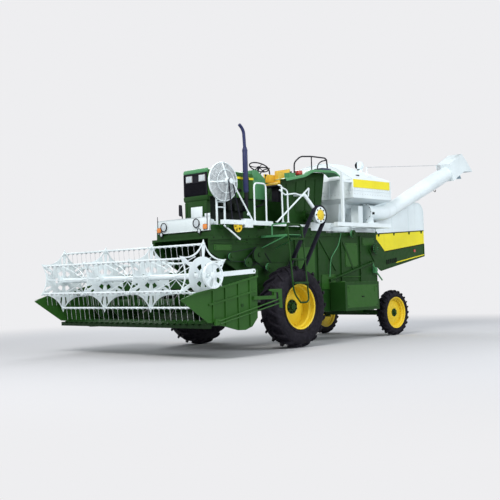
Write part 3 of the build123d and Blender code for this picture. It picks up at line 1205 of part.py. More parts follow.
def ram_barrels():
    """Barrels of the lift rams with their base eyes."""
    unit, _ = ram_unit()
    base = Vector(RAM_X, RAM_BASE_Y, RAM_BASE_Z)
    barrel = shaft_x(RAM_X - RAM_EYE_HALF, RAM_X + RAM_EYE_HALF, RAM_BASE_Y, RAM_BASE_Z, RAM_EYE_R)
    barrel += bar(base + unit * 20, base + unit * 80, RAM_EYE_HALF - 4)
    barrel += bar(base + unit * (RAM_EYE_R + 20), base + unit * RAM_BARREL_L, RAM_BARREL_R)
    barrel -= bar(base + unit * 95, base + unit * (RAM_BARREL_L + 1), RAM_ROD_R + RUN_FIT)
    barrel -= shaft_x(RAM_X - 60, RAM_X + 60, RAM_BASE_Y, RAM_BASE_Z, RAM_PIN_R + RUN_FIT)
    return both_sides(barrel)


def ram_rods():
    """Rods of the lift rams with their eyes, whose bores are wide because the eye drifts from its pin."""
    unit, length = ram_unit()
    base = Vector(RAM_X, RAM_BASE_Y, RAM_BASE_Z)
    eye = shaft_x(RAM_X - RAM_EYE_HALF, RAM_X + RAM_EYE_HALF, RAM_EYE_Y, RAM_EYE_Z, ROD_EYE_R)
    rod = bar(base + unit * 330, base + unit * (length - 20), RAM_ROD_R)
    rod = rod + eye - shaft_x(RAM_X - 60, RAM_X + 60, RAM_EYE_Y, RAM_EYE_Z, RAM_PIN_R + RAM_DRIFT)
    return both_sides(rod)


front_tyre, front_rim = front_wheel_parts()
rear_tyre, rear_rim = rear_wheel_parts()
left_knuckle = knuckle()

parts = {
    "thresher_body": thresher_body(),
    "side_tank": side_tank(),
    "front_axle": front_axle(),
    "rear_frame": rear_frame(),
    "rear_axle": rear_axle(),
    "deck_beams": deck_beams(),
    "platform": platform(),
    "ladder": ladder(),
    "handrails": handrails(),
    "hood_upper": hood_upper(),
    "hood_band": hood_band(),
    "hood_skirt": hood_skirt(),
    "grain_tank": grain_tank(),
    "tank_roof": tank_roof(),
    "tank_hatch": tank_hatch(),
    "tank_frame": tank_frame(),
    "auger_base": auger_base(),
    "auger_tube": auger_tube(),
    "tractor_engine": tractor_engine(),
    "tractor_frame": tractor_frame(),
    "tractor_bonnet": tractor_bonnet(),
    "tractor_grille": tractor_grille(),
    "exhaust_pipe": exhaust_pipe(),
    "dashboard": dashboard(),
    "steering_wheel": steering_wheel(),
    "operator_seat": operator_seat(),
    "fenders": fenders(),
    "fender_rails": fender_rails(),
    "drive_pulley": drive_pulley(),
    "drive_belts": drive_belts(),
    "lamp_board": lamp_board(),
    "screen_stand": screen_stand(),
    "screen_drum": screen_drum(),
    "feeder_house": feeder_house(),
    "header_trough": header_trough(),
    "header_ends": header_ends(),
    "cutter_bar": cutter_bar(),
    "knife_drive": knife_drive(),
    "header_auger": header_auger(),
    "reel_arms": reel_arms(),
    "reel_body": reel_body(),
    "ram_barrels": ram_barrels(),
    "ram_rods": ram_rods(),
    "knuckle_left": left_knuckle,
    "knuckle_right": mirror(left_knuckle, about=Plane.YZ),
}
for name, tyre_shape, rim_shape in (("front", front_tyre, front_rim), ("rear", rear_tyre, rear_rim)):
    parts[f"tyre_{name}_left"] = tyre_shape
    parts[f"rim_{name}_left"] = rim_shape
    parts[f"tyre_{name}_right"] = mirror(tyre_shape, about=Plane.YZ)
    parts[f"rim_{name}_right"] = mirror(rim_shape, about=Plane.YZ)
for bat_index in range(REEL_BATS):
    parts[f"reel_bat_{bat_index + 1}"] = reel_bat(bat_index)

os.makedirs("parts", exist_ok=True)
for name, shape in parts.items():
    export_step(Pos(0, Y_SHIFT, 0) * shape, f"parts/{name}.step")
print(len(parts), "nodes, moved along Y by", Y_SHIFT)
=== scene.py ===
import math
from types import SimpleNamespace

import bmesh
import bpy
from mathutils import Matrix, Vector


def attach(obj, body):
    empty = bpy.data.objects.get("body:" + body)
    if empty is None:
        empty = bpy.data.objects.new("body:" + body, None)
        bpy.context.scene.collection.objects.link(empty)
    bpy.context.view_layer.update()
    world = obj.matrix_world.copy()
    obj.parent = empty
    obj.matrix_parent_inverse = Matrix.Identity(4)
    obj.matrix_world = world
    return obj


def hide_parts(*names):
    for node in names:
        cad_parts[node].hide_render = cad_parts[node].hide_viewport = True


# A tractor-driven combine harvester. Metres, +Z up, the header at -Y, the machine's left side at +X.
# Places are written with Y = 0 at the front axle, as the part's own sizes are, and moved by DY when made.

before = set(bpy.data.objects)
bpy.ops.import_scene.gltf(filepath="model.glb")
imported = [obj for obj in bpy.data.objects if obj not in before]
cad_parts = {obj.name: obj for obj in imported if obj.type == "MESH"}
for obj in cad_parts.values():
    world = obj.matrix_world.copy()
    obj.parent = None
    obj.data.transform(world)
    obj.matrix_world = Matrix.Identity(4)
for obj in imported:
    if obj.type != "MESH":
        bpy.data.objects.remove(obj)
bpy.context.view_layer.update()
DY = -1.86

# Wheels: the disc's place is out from the tyre's middle, the reach is the lugs' drop at the sidewall
AXLES = {
    "front": SimpleNamespace(x=1.307, y=0, r=0.76, half=0.212, rim_r=0.405, disc=-0.04, lug=0.046, count=19,
                             width=0.058, skew=0.20, reach=-0.075, hub_r=0.112, bolts=8),
    "rear": SimpleNamespace(x=0.98, y=3.663, r=0.49, half=0.104, rim_r=0.322, disc=0.022, lug=0.028,
                            count=24, width=0.038, skew=0.12, reach=-0.04, hub_r=0.066, bolts=6),
}

# Body, deck and hood
BODY_SIDE, BODY_REAR, DECK_TOP = 0.774, 3.42, 2.29
HOOD_X, HOOD_REAR = 0.77, 5.31

# Header and reel
HEADER_X, AUGER_Y, AUGER_Z = -0.06, -2.03, 0.86
REEL_Y, REEL_Z, REEL_R, REEL_BAT_R, REEL_PHASE, STAR_SAG = -2.8, 1.36, 0.578, 0.51, 27, 0.105
REEL_STARS = (-1.925, -0.64, 0.64, 1.925)
TINE_PITCH, TINE_DROP = 0.14, 0.215

# Tractor
BONNET_X, BONNET_FRONT, BONNET_BACK, BONNET_LOW, BONNET_TOP = 0.335, -1.2, 0.055, 2.86, 3.4
FENDER_IN, FENDER_OUT = 0.64, 0.96

# Front of the deck, rails and ladder
BOARD_Y, BOARD_HALF, BOARD_LOW, BOARD_TOP = -1.53, 0.715, 2.19, 2.44
SCREEN_X, SCREEN_Y, SCREEN_Z = 0.79, -1.18, 3.08
RAIL_X, RAIL_FOOT = 0.91, 2.365
LADDER_FRONT, LADDER_REAR = -0.29, 0.11

# Drives on the left flank: places of the small pulleys as (y, z, radius)
MAIN_PULLEY, LOW_PULLEY = (1.02, 1.19, 2.53), (1.02, 0.3, 1.25)
DECK_PULLEY = (0.93, -1.035, 2.255, 0.108)
FLANK_PULLEYS = ((-1.165, 1.707, 0.078), (-0.733, 1.601, 0.09), (-0.159, 1.5, 0.09), (-0.45, 1.74, 0.15),
                 (2.46, 2.19, 0.078), (3.3, 1.886, 0.12))

# Tank and unloading auger
TANK_X, TANK_FRONT, TANK_REAR = 1.24, 2.03, 3.37
SWING_X, SWING_Y, DRUM_Z, ELBOW_Y = 1.0, 2.85, 2.64, 3.43
TUBE_R, SPOUT_R, TUBE_END_Y, TUBE_END_Z = 0.153, 0.176, 6.01, 3.69


# Mesh tools

PLACE = {"X": lambda a, b, t: (t, a, b), "Y": lambda a, b, t: (a, t, b), "Z": lambda a, b, t: (a, b, t)}


def around(centre, r, turn, axis="X", along=0.0):
    """A point at a radius from the centre, turned about an axis and moved along it."""
    return Vector(centre) + Vector(PLACE[axis](r * math.cos(turn), r * math.sin(turn), along))


def turns(count, first=0.0):
    """Equal turns round a circle, the first one in degrees, as radians."""
    return [math.radians(first + 360 * k / count) for k in range(count)]


def span(middle, half):
    """The low and high side of a width."""
    return middle - half, middle + half


def steps_of(count, first, pitch):
    """Evenly spaced places."""
    return [first + pitch * k for k in range(count)]


def spin(place, degrees, axis="X"):
    """A turn about an axis and a move to a place."""
    return Matrix.Translation(place) @ Matrix.Rotation(math.radians(degrees), 4, axis)


def corner_curve(before, corner, after, radius, share, steps):
    """A curve in place of a corner, tangent to both of its runs."""
    back, on = before - corner, after - corner
    cut = min(radius, share * back.length, share * on.length)
    start, end = corner + back.normalized() * cut, corner + on.normalized() * cut
    return [start * (1 - t) ** 2 + corner * 2 * t * (1 - t) + end * t ** 2
            for t in (i / steps for i in range(steps + 1))]


def rounded(points, radius):
    """A polyline with its inner corners rounded."""
    points = [Vector(p) for p in points]
    corners = zip(points, points[1:], points[2:])
    middle = [p for corner in corners for p in corner_curve(*corner, radius, 0.45, 5)]
    return [points[0], *middle, points[-1]]


def rounded_outline(points, radius):
    """A closed flat outline with every corner rounded."""
    points = [Vector(p) for p in points]
    corners = zip(points[-1:] + points[:-1], points, points[1:] + points[:1])
    return [(p.x, p.y) for corner in corners for p in corner_curve(*corner, radius, 0.4, 4)]


class Piece:
    """Geometry gathered for one object."""

    def __init__(self):
        self.verts = []
        self.faces = []

    def add(self, verts, faces):
        base = len(self.verts)
        self.verts += [Vector(v) for v in verts]
        self.faces += [[base + i for i in face] for face in faces]
        return self

    def join(self, other, matrix=None):
        """Adds another piece, moved by a matrix if one is given."""
        return self.add([matrix @ v for v in other.verts] if matrix else other.verts, other.faces)

    def loft(self, rows, closed=True, ring=False, caps=False, columns=None):
        """Faces between rows of points; closed joins a row's ends, ring the last row to the first."""
        n, m = len(rows[0]), len(rows)
        faces = [(n * i + k, n * i + (k + 1) % n, n * ((i + 1) % m) + (k + 1) % n, n * ((i + 1) % m) + k)
                 for i in range(m if ring else m - 1) for k in columns or range(n if closed else n - 1)]
        if caps:
            faces += [tuple(range(n)), tuple(range(n * (m - 1), n * m))]
        return self.add([p for row in rows for p in row], faces)

    def box(self, x, y, z):
        """A block between (low, high) pairs."""
        return self.add([(a, b, c) for a in x for b in y for c in z],
                        [(0, 1, 3, 2), (4, 6, 7, 5), (0, 4, 5, 1), (2, 3, 7, 6), (0, 2, 6, 4), (1, 5, 7, 3)])

    def prism(self, outline, low, high, axis="X"):
        """An outline drawn across an axis, as thick as low to high: (y, z) for X, (x, z) for Y."""
        n = len(outline)
        faces = [tuple(range(n)), tuple(range(n, 2 * n))]
        faces += [(i, (i + 1) % n, n + (i + 1) % n, n + i) for i in range(n)]
        return self.add([PLACE[axis](a, b, t) for t in (low, high) for a, b in outline], faces)

    def lathe(self, profile, centre, axis="X", steps=40, closed=True):
        """A loop of (along, radius) points, or a line that starts and ends on the axis, turned about it."""
        return self.loft([[around(centre, r, a, axis, along) for along, r in profile] for a in turns(steps)],
                         closed, ring=True)

    def spindle(self, profile, centre, axis="X", steps=40):
        """A solid turned shape from the (along, radius) points of its outside."""
        ends = (profile[0][0], 0), (profile[-1][0], 0)
        return self.lathe([ends[0], *profile, ends[1]], centre, axis, steps, closed=False)

    def disc(self, centre, r, half, axis="X", steps=32, rim=0.0):
        """A round plate or shaft with its edges taken off by rim."""
        edges = [(-half, r - rim), (-half + rim, r), (half - rim, r), (half, r - rim)]
        return self.spindle(edges if rim else [(-half, r), (half, r)], centre, axis, steps)

    def ring(self, centre, r, thick, half, axis="X", steps=32):
        """A flat ring."""
        profile = [(-half, r - thick), (-half, r), (half, r), (half, r - thick)]
        return self.lathe(profile, centre, axis, steps)

    def tube(self, points, r, steps=10, bend=0.0):
        """A round bar swept along points, its corners rounded by bend."""
        path = rounded(points, bend) if bend else [Vector(p) for p in points]
        tangents = [(after - before).normalized() for before, after in
                    zip(path[:1] + path[:-1], path[1:] + path[-1:])]
        side = tangents[0].orthogonal().normalized()
        rows = []
        for p, t in zip(path, tangents):
            side = (side - t * side.dot(t)).normalized()
            up = t.cross(side)
            rows.append([p + side * (r * math.cos(a)) + up * (r * math.sin(a)) for a in turns(steps)])
        return self.loft(rows, caps=True)

    def rod(self, start, end, r, steps=12):
        """A straight round bar."""
        return self.tube([start, end], r, steps)

    def strip(self, start, end, width, thick, face="X"):
        """A flat bar between two points, its wide side square to an axis."""
        a, b = Vector(start), Vector(end)
        along = (b - a).normalized()
        out = Vector(PLACE[face](0, 0, 1))
        out = (out - along * out.dot(along)).normalized()
        across = along.cross(out)
        return self.loft([[p + across * (s * width / 2) + out * (t * thick / 2)
                           for s, t in ((-1, -1), (1, -1), (1, 1), (-1, 1))] for p in (a, b)], caps=True)

    def bolts(self, places, r, half, axis="X", steps=6):
        """Round or hexagon heads at a list of places."""
        for p in places:
            self.disc(p, r, half, axis, steps)
        return self

    def mirror(self):
        """Adds the mirror image across X = 0."""
        return self.add([(-v.x, v.y, v.z) for v in self.verts], list(self.faces))

    def moved(self, matrix):
        """The same geometry turned or moved by a matrix."""
        self.verts = [matrix @ v for v in self.verts]
        return self

    def to_object(self, name, shift=0.0):
        """A new object of the geometry, moved along Y."""
        mesh = bpy.data.meshes.new(name)
        bm = bmesh.new()
        made = [bm.verts.new(v + Vector((0, shift, 0))) for v in self.verts]
        for face in self.faces:
            bm.faces.new([made[i] for i in face])
        bmesh.ops.remove_doubles(bm, verts=bm.verts, dist=1e-5)
        bmesh.ops.recalc_face_normals(bm, faces=bm.faces)
        bm.to_mesh(mesh)
        bm.free()
        obj = bpy.data.objects.new(name, mesh)
        bpy.context.scene.collection.objects.link(obj)
        return obj

    def make(self, name, look, body="chassis", slot="", replaces="",
             bevel=0.0, segments=1, sheet=0.0, angle=35):
        """The finished object in the model's frame, riding on its body; sheet thickens open faces."""
        obj = self.to_object(name, DY)
        if sheet:
            wall = obj.modifiers.new("wall", "SOLIDIFY")
            wall.thickness, wall.offset = sheet, 0
        if bevel:
            cut = obj.modifiers.new("edge", "BEVEL")
            cut.width, cut.segments, cut.limit_method = bevel, segments, "ANGLE"
            cut.angle_limit = math.radians(40)
        if obj.modifiers:
            bpy.context.view_layer.update()
            graph = bpy.context.evaluated_depsgraph_get()
            mesh = bpy.data.meshes.new_from_object(obj.evaluated_get(graph))
            obj.modifiers.clear()
            obj.data = mesh
        for polygon in obj.data.polygons:
            polygon.use_smooth = True
        obj.data.set_sharp_from_angle(angle=math.radians(angle))
        obj.data.materials.clear()
        obj.data.materials.append(M[look])
        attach(obj, body)
        if replaces:
            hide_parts(replaces)
        return obj


# Materials

def srgb(r, g, b):
    """A colour written in 0 to 255 steps, as linear values."""
    def one(v):
        v /= 255
        return v / 12.92 if v <= 0.04045 else ((v + 0.055) / 1.055) ** 2.4
    return one(r), one(g), one(b), 1


def dim(colour, share):
    """A colour made darker."""
    return colour[0] * share, colour[1] * share, colour[2] * share, 1


class Look:
    """A material under construction: a Principled shader and the nodes that feed it."""

    def __init__(self, name, **sockets):
        self.material = bpy.data.materials.new(name)
        self.material.use_nodes = True
        self.nodes = self.material.node_tree.nodes
        self.links = self.material.node_tree.links
        self.shader = self.nodes["Principled BSDF"]
        for socket, value in sockets.items():
            self.shader.inputs[socket.replace("_", " ")].default_value = value
        self.place = self.node("ShaderNodeTexCoord").outputs["Object"]

    def node(self, kind, **inputs):
        node = self.nodes.new(kind)
        for name, value in inputs.items():
            node.inputs[name].default_value = value
        return node

    def noise(self, scale, detail=4.0, stretch=None):
        """A noise value over the object, scale in waves a metre."""
        source = self.place
        if stretch:
            mapping = self.node("ShaderNodeMapping", Scale=stretch)
            self.links.new(source, mapping.inputs["Vector"])
            source = mapping.outputs["Vector"]
        node = self.node("ShaderNodeTexNoise", Scale=scale, Detail=detail, Roughness=0.55)
        self.links.new(source, node.inputs["Vector"])
        return node.outputs["Fac"]

    def grey(self, source, low, high, at=(0.3, 0.7)):
        """Maps a value to a range of greys, between two places of its own range."""
        node = self.node("ShaderNodeValToRGB")
        for item, place, value in zip(node.color_ramp.elements, at, (low, high)):
            item.position, item.color = place, (value, value, value, 1)
        self.links.new(source, node.inputs["Fac"])
        return node.outputs["Color"]

    def mix(self, fac, a, b):
        """A mix of two colours, each a socket or a value."""
        node = self.nodes.new("ShaderNodeMix")
        node.data_type = "RGBA"
        for index, value in ((0, fac), (6, a), (7, b)):
            if isinstance(value, bpy.types.NodeSocket):
                self.links.new(value, node.inputs[index])
            else:
                node.inputs[index].default_value = value
        return node.outputs[2]

    def set(self, socket, source):
        self.links.new(source, self.shader.inputs[socket])
        return self

    def bump(self, source, distance, strength):
        node = self.node("ShaderNodeBump", Strength=strength, Distance=distance)
        self.links.new(source, node.inputs["Height"])
        return self.set("Normal", node.outputs["Normal"])


def paint(name, colour, dust, rough, gloss=0.3):
    """Sprayed enamel on sheet: broad unevenness, streaks and a little dust."""
    look, colour = Look(name, Roughness=rough, Specular_IOR_Level=gloss), srgb(*colour)
    broad = look.grey(look.noise(1.3, 3.0), 0.0, 1.0, (0.32, 0.72))
    base = look.mix(broad, dim(colour, 0.86), colour)
    streaks = look.grey(look.noise(5.0, 4.0, (1.0, 1.0, 0.12)), 0.0, 0.35, (0.56, 0.74))
    base = look.mix(streaks, base, dim(colour, 0.70))
    specks = look.grey(look.noise(34.0, 5.0), 0.0, 0.4, (0.60, 0.78))
    look.set("Base Color", look.mix(specks, base, srgb(*dust)))
    look.set("Roughness", look.grey(look.noise(9.0), rough * 0.8, min(rough * 1.5, 1), (0.35, 0.7)))
    return look.bump(look.noise(2.6, 2.0), 0.0024, 0.5)


def mottled(name, waves, low, high, grain=None, **sockets):
    """A surface that wanders between two colours, with a fine grain given as (waves, depth, strength)."""
    look = Look(name, **sockets)
    look.set("Base Color", look.mix(look.grey(look.noise(*waves), 0.0, 1.0), srgb(*low), srgb(*high)))
    return look.bump(look.noise(grain[0], 3.0), *grain[1:]) if grain else look


def worn_steel():
    look = mottled("worn_steel", (14.0, 5.0), (92, 90, 84), (150, 150, 148), Metallic=0.85)
    look.set("Roughness", look.grey(look.noise(22.0), 0.35, 0.6))
    return look.bump(look.noise(160.0, 3.0, (1, 1, 6)), 0.0002, 0.4)


def tyre_rubber():
    look = Look("tyre_rubber", Roughness=0.72, Specular_IOR_Level=0.15)
    dust = look.grey(look.noise(11.0, 6.0), 0.0, 0.55, (0.45, 0.75))
    fine = look.grey(look.noise(60.0, 5.0), 0.0, 0.35, (0.5, 0.8))
    tone = look.mix(dust, srgb(20, 18, 26), srgb(46, 44, 54))
    look.set("Base Color", look.mix(fine, tone, srgb(62, 58, 62)))
    look.set("Roughness", look.grey(look.noise(18.0), 0.55, 0.85))
    return look.bump(look.noise(120.0), 0.0008, 0.5)


def ribbed_lens(name, colour):
    look = Look(name, Roughness=0.12, Coat_Weight=0.6, Coat_Roughness=0.05)
    ribs = look.grey(look.noise(70.0, 2.0, (1, 0.1, 0.1)), 0.0, 1.0)
    look.set("Base Color", look.mix(ribs, dim(srgb(*colour), 0.7), srgb(*colour)))
    return look.bump(look.noise(90.0, 2.0, (1, 0.1, 0.1)), 0.001, 0.6)


def bright_trim():
    look = Look("bright_trim", Metallic=1.0, Roughness=0.18)
    return look.set("Base Color", look.grey(look.noise(30.0, 3.0), 0.55, 0.75))


LOOKS = {
    "green": paint("green_enamel", (29, 66, 23), (50, 74, 36), 0.4, 0.16),
    # A brighter copy of the green enamel.
    "green_bright": paint("green_enamel_brighter", (44, 90, 31), (76, 108, 50), 0.38, 0.2),
    "green_dark": paint("green_enamel_shaded", (20, 44, 18), (40, 56, 30), 0.45, 0.12),
    # A lighter copy of the green enamel: painted highlight on the tops and lit faces of green parts.
    "green_painted_highlight": paint("green_enamel_painted_highlight", (76, 140, 92), (120, 160, 130), 0.34),
    "white": paint("white_enamel", (230, 240, 243), (206, 214, 214), 0.4),
    "yellow": paint("yellow_enamel", (240, 226, 40), (196, 176, 60), 0.38),
    "rim": paint("rim_enamel", (232, 200, 46), (150, 110, 50), 0.4),
    "black": paint("black_enamel", (20, 20, 30), (48, 46, 52), 0.45, 0.2),
    "exhaust": paint("blued_pipe", (44, 50, 90), (70, 70, 96), 0.42, 0.25),
    "iron": paint("cast_iron", (24, 30, 26), (60, 60, 50), 0.62, 0.12),
    "steel": worn_steel(),
    "tyre": tyre_rubber(),
    "belt": mottled("belt_rubber", (40.0, 4.0), (16, 16, 26), (34, 34, 46), (150.0, 0.0004, 0.5),
                    Roughness=0.6, Specular_IOR_Level=0.15),
    "vinyl": mottled("seat_vinyl", (7.0, 4.0), (206, 160, 40), (238, 206, 70), (420.0, 0.0006, 0.6),
                     Roughness=0.45, Sheen_Weight=0.1),
    "cushion": mottled("blue_cushion", (20.0, 4.0), (40, 44, 74), (62, 66, 100), (500.0, 0.0006, 0.6),
                       Roughness=0.7, Sheen_Weight=0.3),
    "lens": ribbed_lens("lens_lens", (206, 216, 222)),
    "amber": ribbed_lens("amber_lens", (234, 138, 46)),
    "red": ribbed_lens("red_lens", (190, 62, 52)),
    "chrome": bright_trim(),
    "wire": mottled("wire_mesh", (18.0, 4.0), (150, 156, 160), (206, 210, 212), Roughness=0.45),
    # Painted shade: the blue-grey of the inside of the spout's far wall.
    "spout_shade_grey": mottled("spout_painted_shade_grey", (9.0, 3.0), (98, 124, 138), (140, 168, 182), Roughness=0.25),
}
M = {key: look.material for key, look in LOOKS.items()}

# Looks of the CAD's nodes that aren't white
NODE_LOOKS = {
    "green": ("thresher_body", "side_tank", "rear_frame", "rear_axle", "deck_beams", "platform", "ladder",
              "hood_skirt", "tractor_frame", "tractor_bonnet", "dashboard", "fenders", "header_trough",
              "header_auger", "ram_barrels", "knuckle_left", "knuckle_right"),
    "green_bright": ("header_ends", "knife_drive"),
    "green_dark": ("feeder_house", "cutter_bar"),
    "yellow": ("hood_band",),
    "rim": ("rim_front_left", "rim_front_right", "rim_rear_left", "rim_rear_right"),
    "tyre": ("tyre_front_left", "tyre_front_right", "tyre_rear_left", "tyre_rear_right"),
    "black": ("tractor_grille", "steering_wheel", "fender_rails"),
    "exhaust": ("exhaust_pipe",),
    "iron": ("front_axle", "tractor_engine"),
    "steel": ("ram_rods",),
    "belt": ("drive_belts",),
    "vinyl": ("operator_seat",),
}


def dress_nodes():
    """Gives every CAD node its material."""
    chosen = {name: look for look, names in NODE_LOOKS.items() for name in names}
    for name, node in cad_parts.items():
        node.data.materials.clear()
        node.data.materials.append(M[chosen.get(name, "white")])


# Wheels

def carcass(w):
    """Profile of a tyre without its lugs, as (along, radius) points."""
    half, base, tread = w.half, w.rim_r, w.r - w.lug
    wall = tread - base
    right = [(0, tread), (0.35, tread - 0.002), (0.66, tread - 0.008), (0.84, tread - 0.022),
             (0.94, tread - 0.05), (0.99, tread - 0.30 * wall), (1, tread - 0.5 * wall),
             (0.975, base + 0.32 * wall), (0.90, base + 0.15 * wall), (0.80, base + 0.06 * wall),
             (0.70, base + 0.012), (0.66, base)]
    return [(x * half, r) for x, r in right + [(-x, r) for x, r in reversed(right[1:])]]


def tyre(centre, w):
    """A drive tyre: carcass, sidewall rings and two rows of slanted lugs."""
    piece = Piece().lathe(carcass(w), centre, steps=88)
    for s in (-1, 1):
        for share in (0.22, 0.42):
            r = w.rim_r + share * (w.r - w.lug - w.rim_r)
            piece.lathe([(s * w.half * 0.93, r - 0.006), (s * (w.half * 0.985 + 0.002), r),
                         (s * w.half * 0.93, r + 0.006)], centre, steps=88)
    stations = ((0.03, 0.0), (0.25, 0.0), (0.5, -0.002), (0.72, -0.008), (0.88, -0.022),
                (0.97, w.reach * 0.6), (1.0, w.reach))
    for s in (-1, 1):
        for start in turns(w.count, 180 / w.count if s > 0 else 0):
            rows = []
            for share, drop in stations:
                along, turn, top = s * share * w.half * 1.005, start + w.skew * share, w.r + drop
                on_tread = drop > -0.03
                low, low_along = (top - w.lug - 0.012, along) if on_tread else (top - 0.004, along * 0.97)
                wide = w.width * (1 - 0.15 * share) / w.r
                corners = ((low, 0.62, low_along), (top, 0.42, along),
                           (top, -0.42, along), (low, -0.62, low_along))
                rows.append([around(centre, r, turn + wide * part, along=x) for r, part, x in corners])
            piece.loft(rows, caps=True)
    return piece


def rim(centre, out, w):
    """A deep-dish rim facing out (+1 or -1 along X) with its tabs, and its green hub and wheel nuts."""
    half, disc, hub_r, rim_r = w.half, w.disc, w.hub_r, w.rim_r
    edge, lip, wall = 0.87 * half, rim_r + 0.012, rim_r - 0.010

    def turned(piece, profile, steps, closed=True):
        return piece.lathe([(out * x, r) for x, r in profile], centre, "X", steps, closed)

    outer = [(edge, lip - 0.004), (edge + 0.004, lip + 0.003), (edge - 0.004, lip + 0.004),
             (edge - 0.010, rim_r + 0.001), (0.45 * half, rim_r - 0.002), (0.35 * half, rim_r - 0.03)]
    inner = [(-edge + 0.006, wall), (-0.45 * half, wall - 0.002), (-0.33 * half, rim_r - 0.038)]
    metal = turned(Piece(), outer + [(-x, r) for x, r in reversed(outer)] + inner
                   + [(-x, r) for x, r in reversed(inner)], 72)
    turned(metal, [(disc + x, r) for x, r in (
        (-0.030, rim_r - 0.034), (-0.026, rim_r - 0.075), (-0.004, rim_r - 0.12), (0.006, hub_r + 0.075),
        (0.014, hub_r + 0.05), (0.008, hub_r + 0.03), (0.006, 0), (-0.006, 0), (-0.004, hub_r + 0.03),
        (0.002, hub_r + 0.05), (-0.006, hub_r + 0.075), (-0.016, rim_r - 0.12), (-0.040, rim_r - 0.075),
        (-0.044, rim_r - 0.034))], 72)
    tab = Piece().box((out * (disc - 0.05), out * (disc - 0.012)), (-0.03, 0.03), span(rim_r - 0.047, 0.012))
    for k in range(8):
        metal.join(tab, spin(centre, 45 * k + 22.5))
    face = disc + 0.006
    hub = turned(Piece(), [(face + x, r) for x, r in (
        (-0.004, 0), (-0.004, hub_r + 0.022), (0.012, hub_r + 0.02), (0.016, hub_r * 0.62),
        (0.05, hub_r * 0.5), (0.055, 0))], 40, False)
    nuts = Piece().bolts([around(centre, hub_r - 0.008, a, along=out * (face + 0.022))
                          for a in turns(w.bolts, 180 / w.bolts)], hub_r * 0.17, 0.014)
    return metal, hub, nuts


def build_wheels():
    for side, s in (("left", 1), ("right", -1)):
        for axle, w in AXLES.items():
            centre, body = (s * w.x, w.y, w.r), f"wheel_{axle}_{side}"
            tyre(centre, w).make(f"{body}_tyre", "tyre", body, replaces=f"tyre_{axle}_{side}", angle=30)
            metal, hub, nuts = rim(centre, s, w)
            metal.make(f"{body}_rim", "rim", body, replaces=f"rim_{axle}_{side}", angle=32)
            hub.make(f"{body}_hub", "green", body, angle=30)
            nuts.make(f"{body}_nuts", "iron", body, bevel=0.002)


# Reel, bats and feed auger

def star(x, open_rim):
    """One star plate across the reel: six hollow-sided points, with windows, as an open sheet."""
    sector, samples = math.radians(60), 24
    piece = Piece()
    for i in range(6):
        rows = []
        for k in range(samples + 1):
            share = k / samples
            across = REEL_R * (0.5 - share)
            out = REEL_R * math.cos(sector / 2) - STAR_SAG * 4 * share * (1 - share)
            edge = math.hypot(across, out) + 0.012 * abs(2 * share - 1) ** 8
            a = math.radians(REEL_PHASE) + sector * (i + 0.5) - math.atan2(across, out)
            radii = (0.03, 0.11, 0.19, min(0.31, edge - 0.085), edge - 0.03, edge)
            rows.append([around((x, REEL_Y, REEL_Z), r, a) for r in radii])
        faces = []
        for k in range(samples):
            off = abs((k + 0.5) / samples - 0.5)
            windows = {1: off < 0.22, 3: off < 0.36 if open_rim else 0.26 < off < 0.38}
            faces += [(6 * k + band, 6 * k + band + 1, 6 * k + band + 7, 6 * k + band + 6)
                      for band in range(5) if not windows.get(band)]
        piece.add([p for row in rows for p in row], faces)
    return piece


def build_reel():
    """Star plates, reel tube with their hubs and braces, and the drive pulley."""
    stars = Piece()
    for x in REEL_STARS:
        stars.join(star(HEADER_X + x, x == REEL_STARS[-1]))
    stars.make("reel_stars", "white", "reel", sheet=0.01, bevel=0.0015)

    centre = (HEADER_X, REEL_Y, REEL_Z)
    shaft = Piece().spindle([(-1.985, 0.028), (-1.93, 0.028), (-1.93, 0.048), (1.93, 0.048), (1.93, 0.028),
                             (2.18, 0.028)], centre, steps=32)
    for x in REEL_STARS:
        shaft.disc(around(centre, 0, 0, along=x), 0.085, 0.011, rim=0.003)
        for a in turns(6, REEL_PHASE):
            shaft.ring(around(centre, REEL_BAT_R, a, along=x), 0.031, 0.012, 0.009, steps=18)
            shaft.disc(around(centre, 0.068, a, along=x), 0.009, 0.016, steps=6)
    for low, high in zip(REEL_STARS, REEL_STARS[1:]):
        for a in turns(6, REEL_PHASE + 30):
            foot = around(centre, 0.04, a, along=(low + high) / 2)
            for end in (low, high):
                head = around(centre, 0.345, a, along=end)
                shaft.tube([foot, around(head.lerp(foot, 0.5), 0.05, a), head], 0.008, 8, 0.2)
    shaft.make("reel_shaft", "white", "reel", replaces="reel_body")

    out, middle = 2.12, (0, REEL_Y, REEL_Z)
    wheel = Piece().lathe([(out - x, r) for x, r in (
        (0.044, 0.186), (0.044, 0.21), (0.034, 0.21), (0.024, 0.196), (0.018, 0.196), (0.006, 0.21),
        (0, 0.209), (0, 0.186))], middle, steps=64)
    wheel.disc((out - 0.024, REEL_Y, REEL_Z), 0.052, 0.022, rim=0.004)
    near = [(0.04, -0.030), (0.08, -0.028), (0.13, -0.045), (0.19, -0.095)]
    spoke = Piece().prism(near + [(y, -z) for y, z in reversed(near)], out - 0.028, out - 0.016)
    spoke.tube([(out - 0.016, 0.05, 0), (out - 0.016, 0.188, 0)], 0.006, 8)
    for k in range(5):
        wheel.join(spoke, spin(middle, 72 * k))
    wheel.make("reel_pulley", "white", "reel", bevel=0.0015)


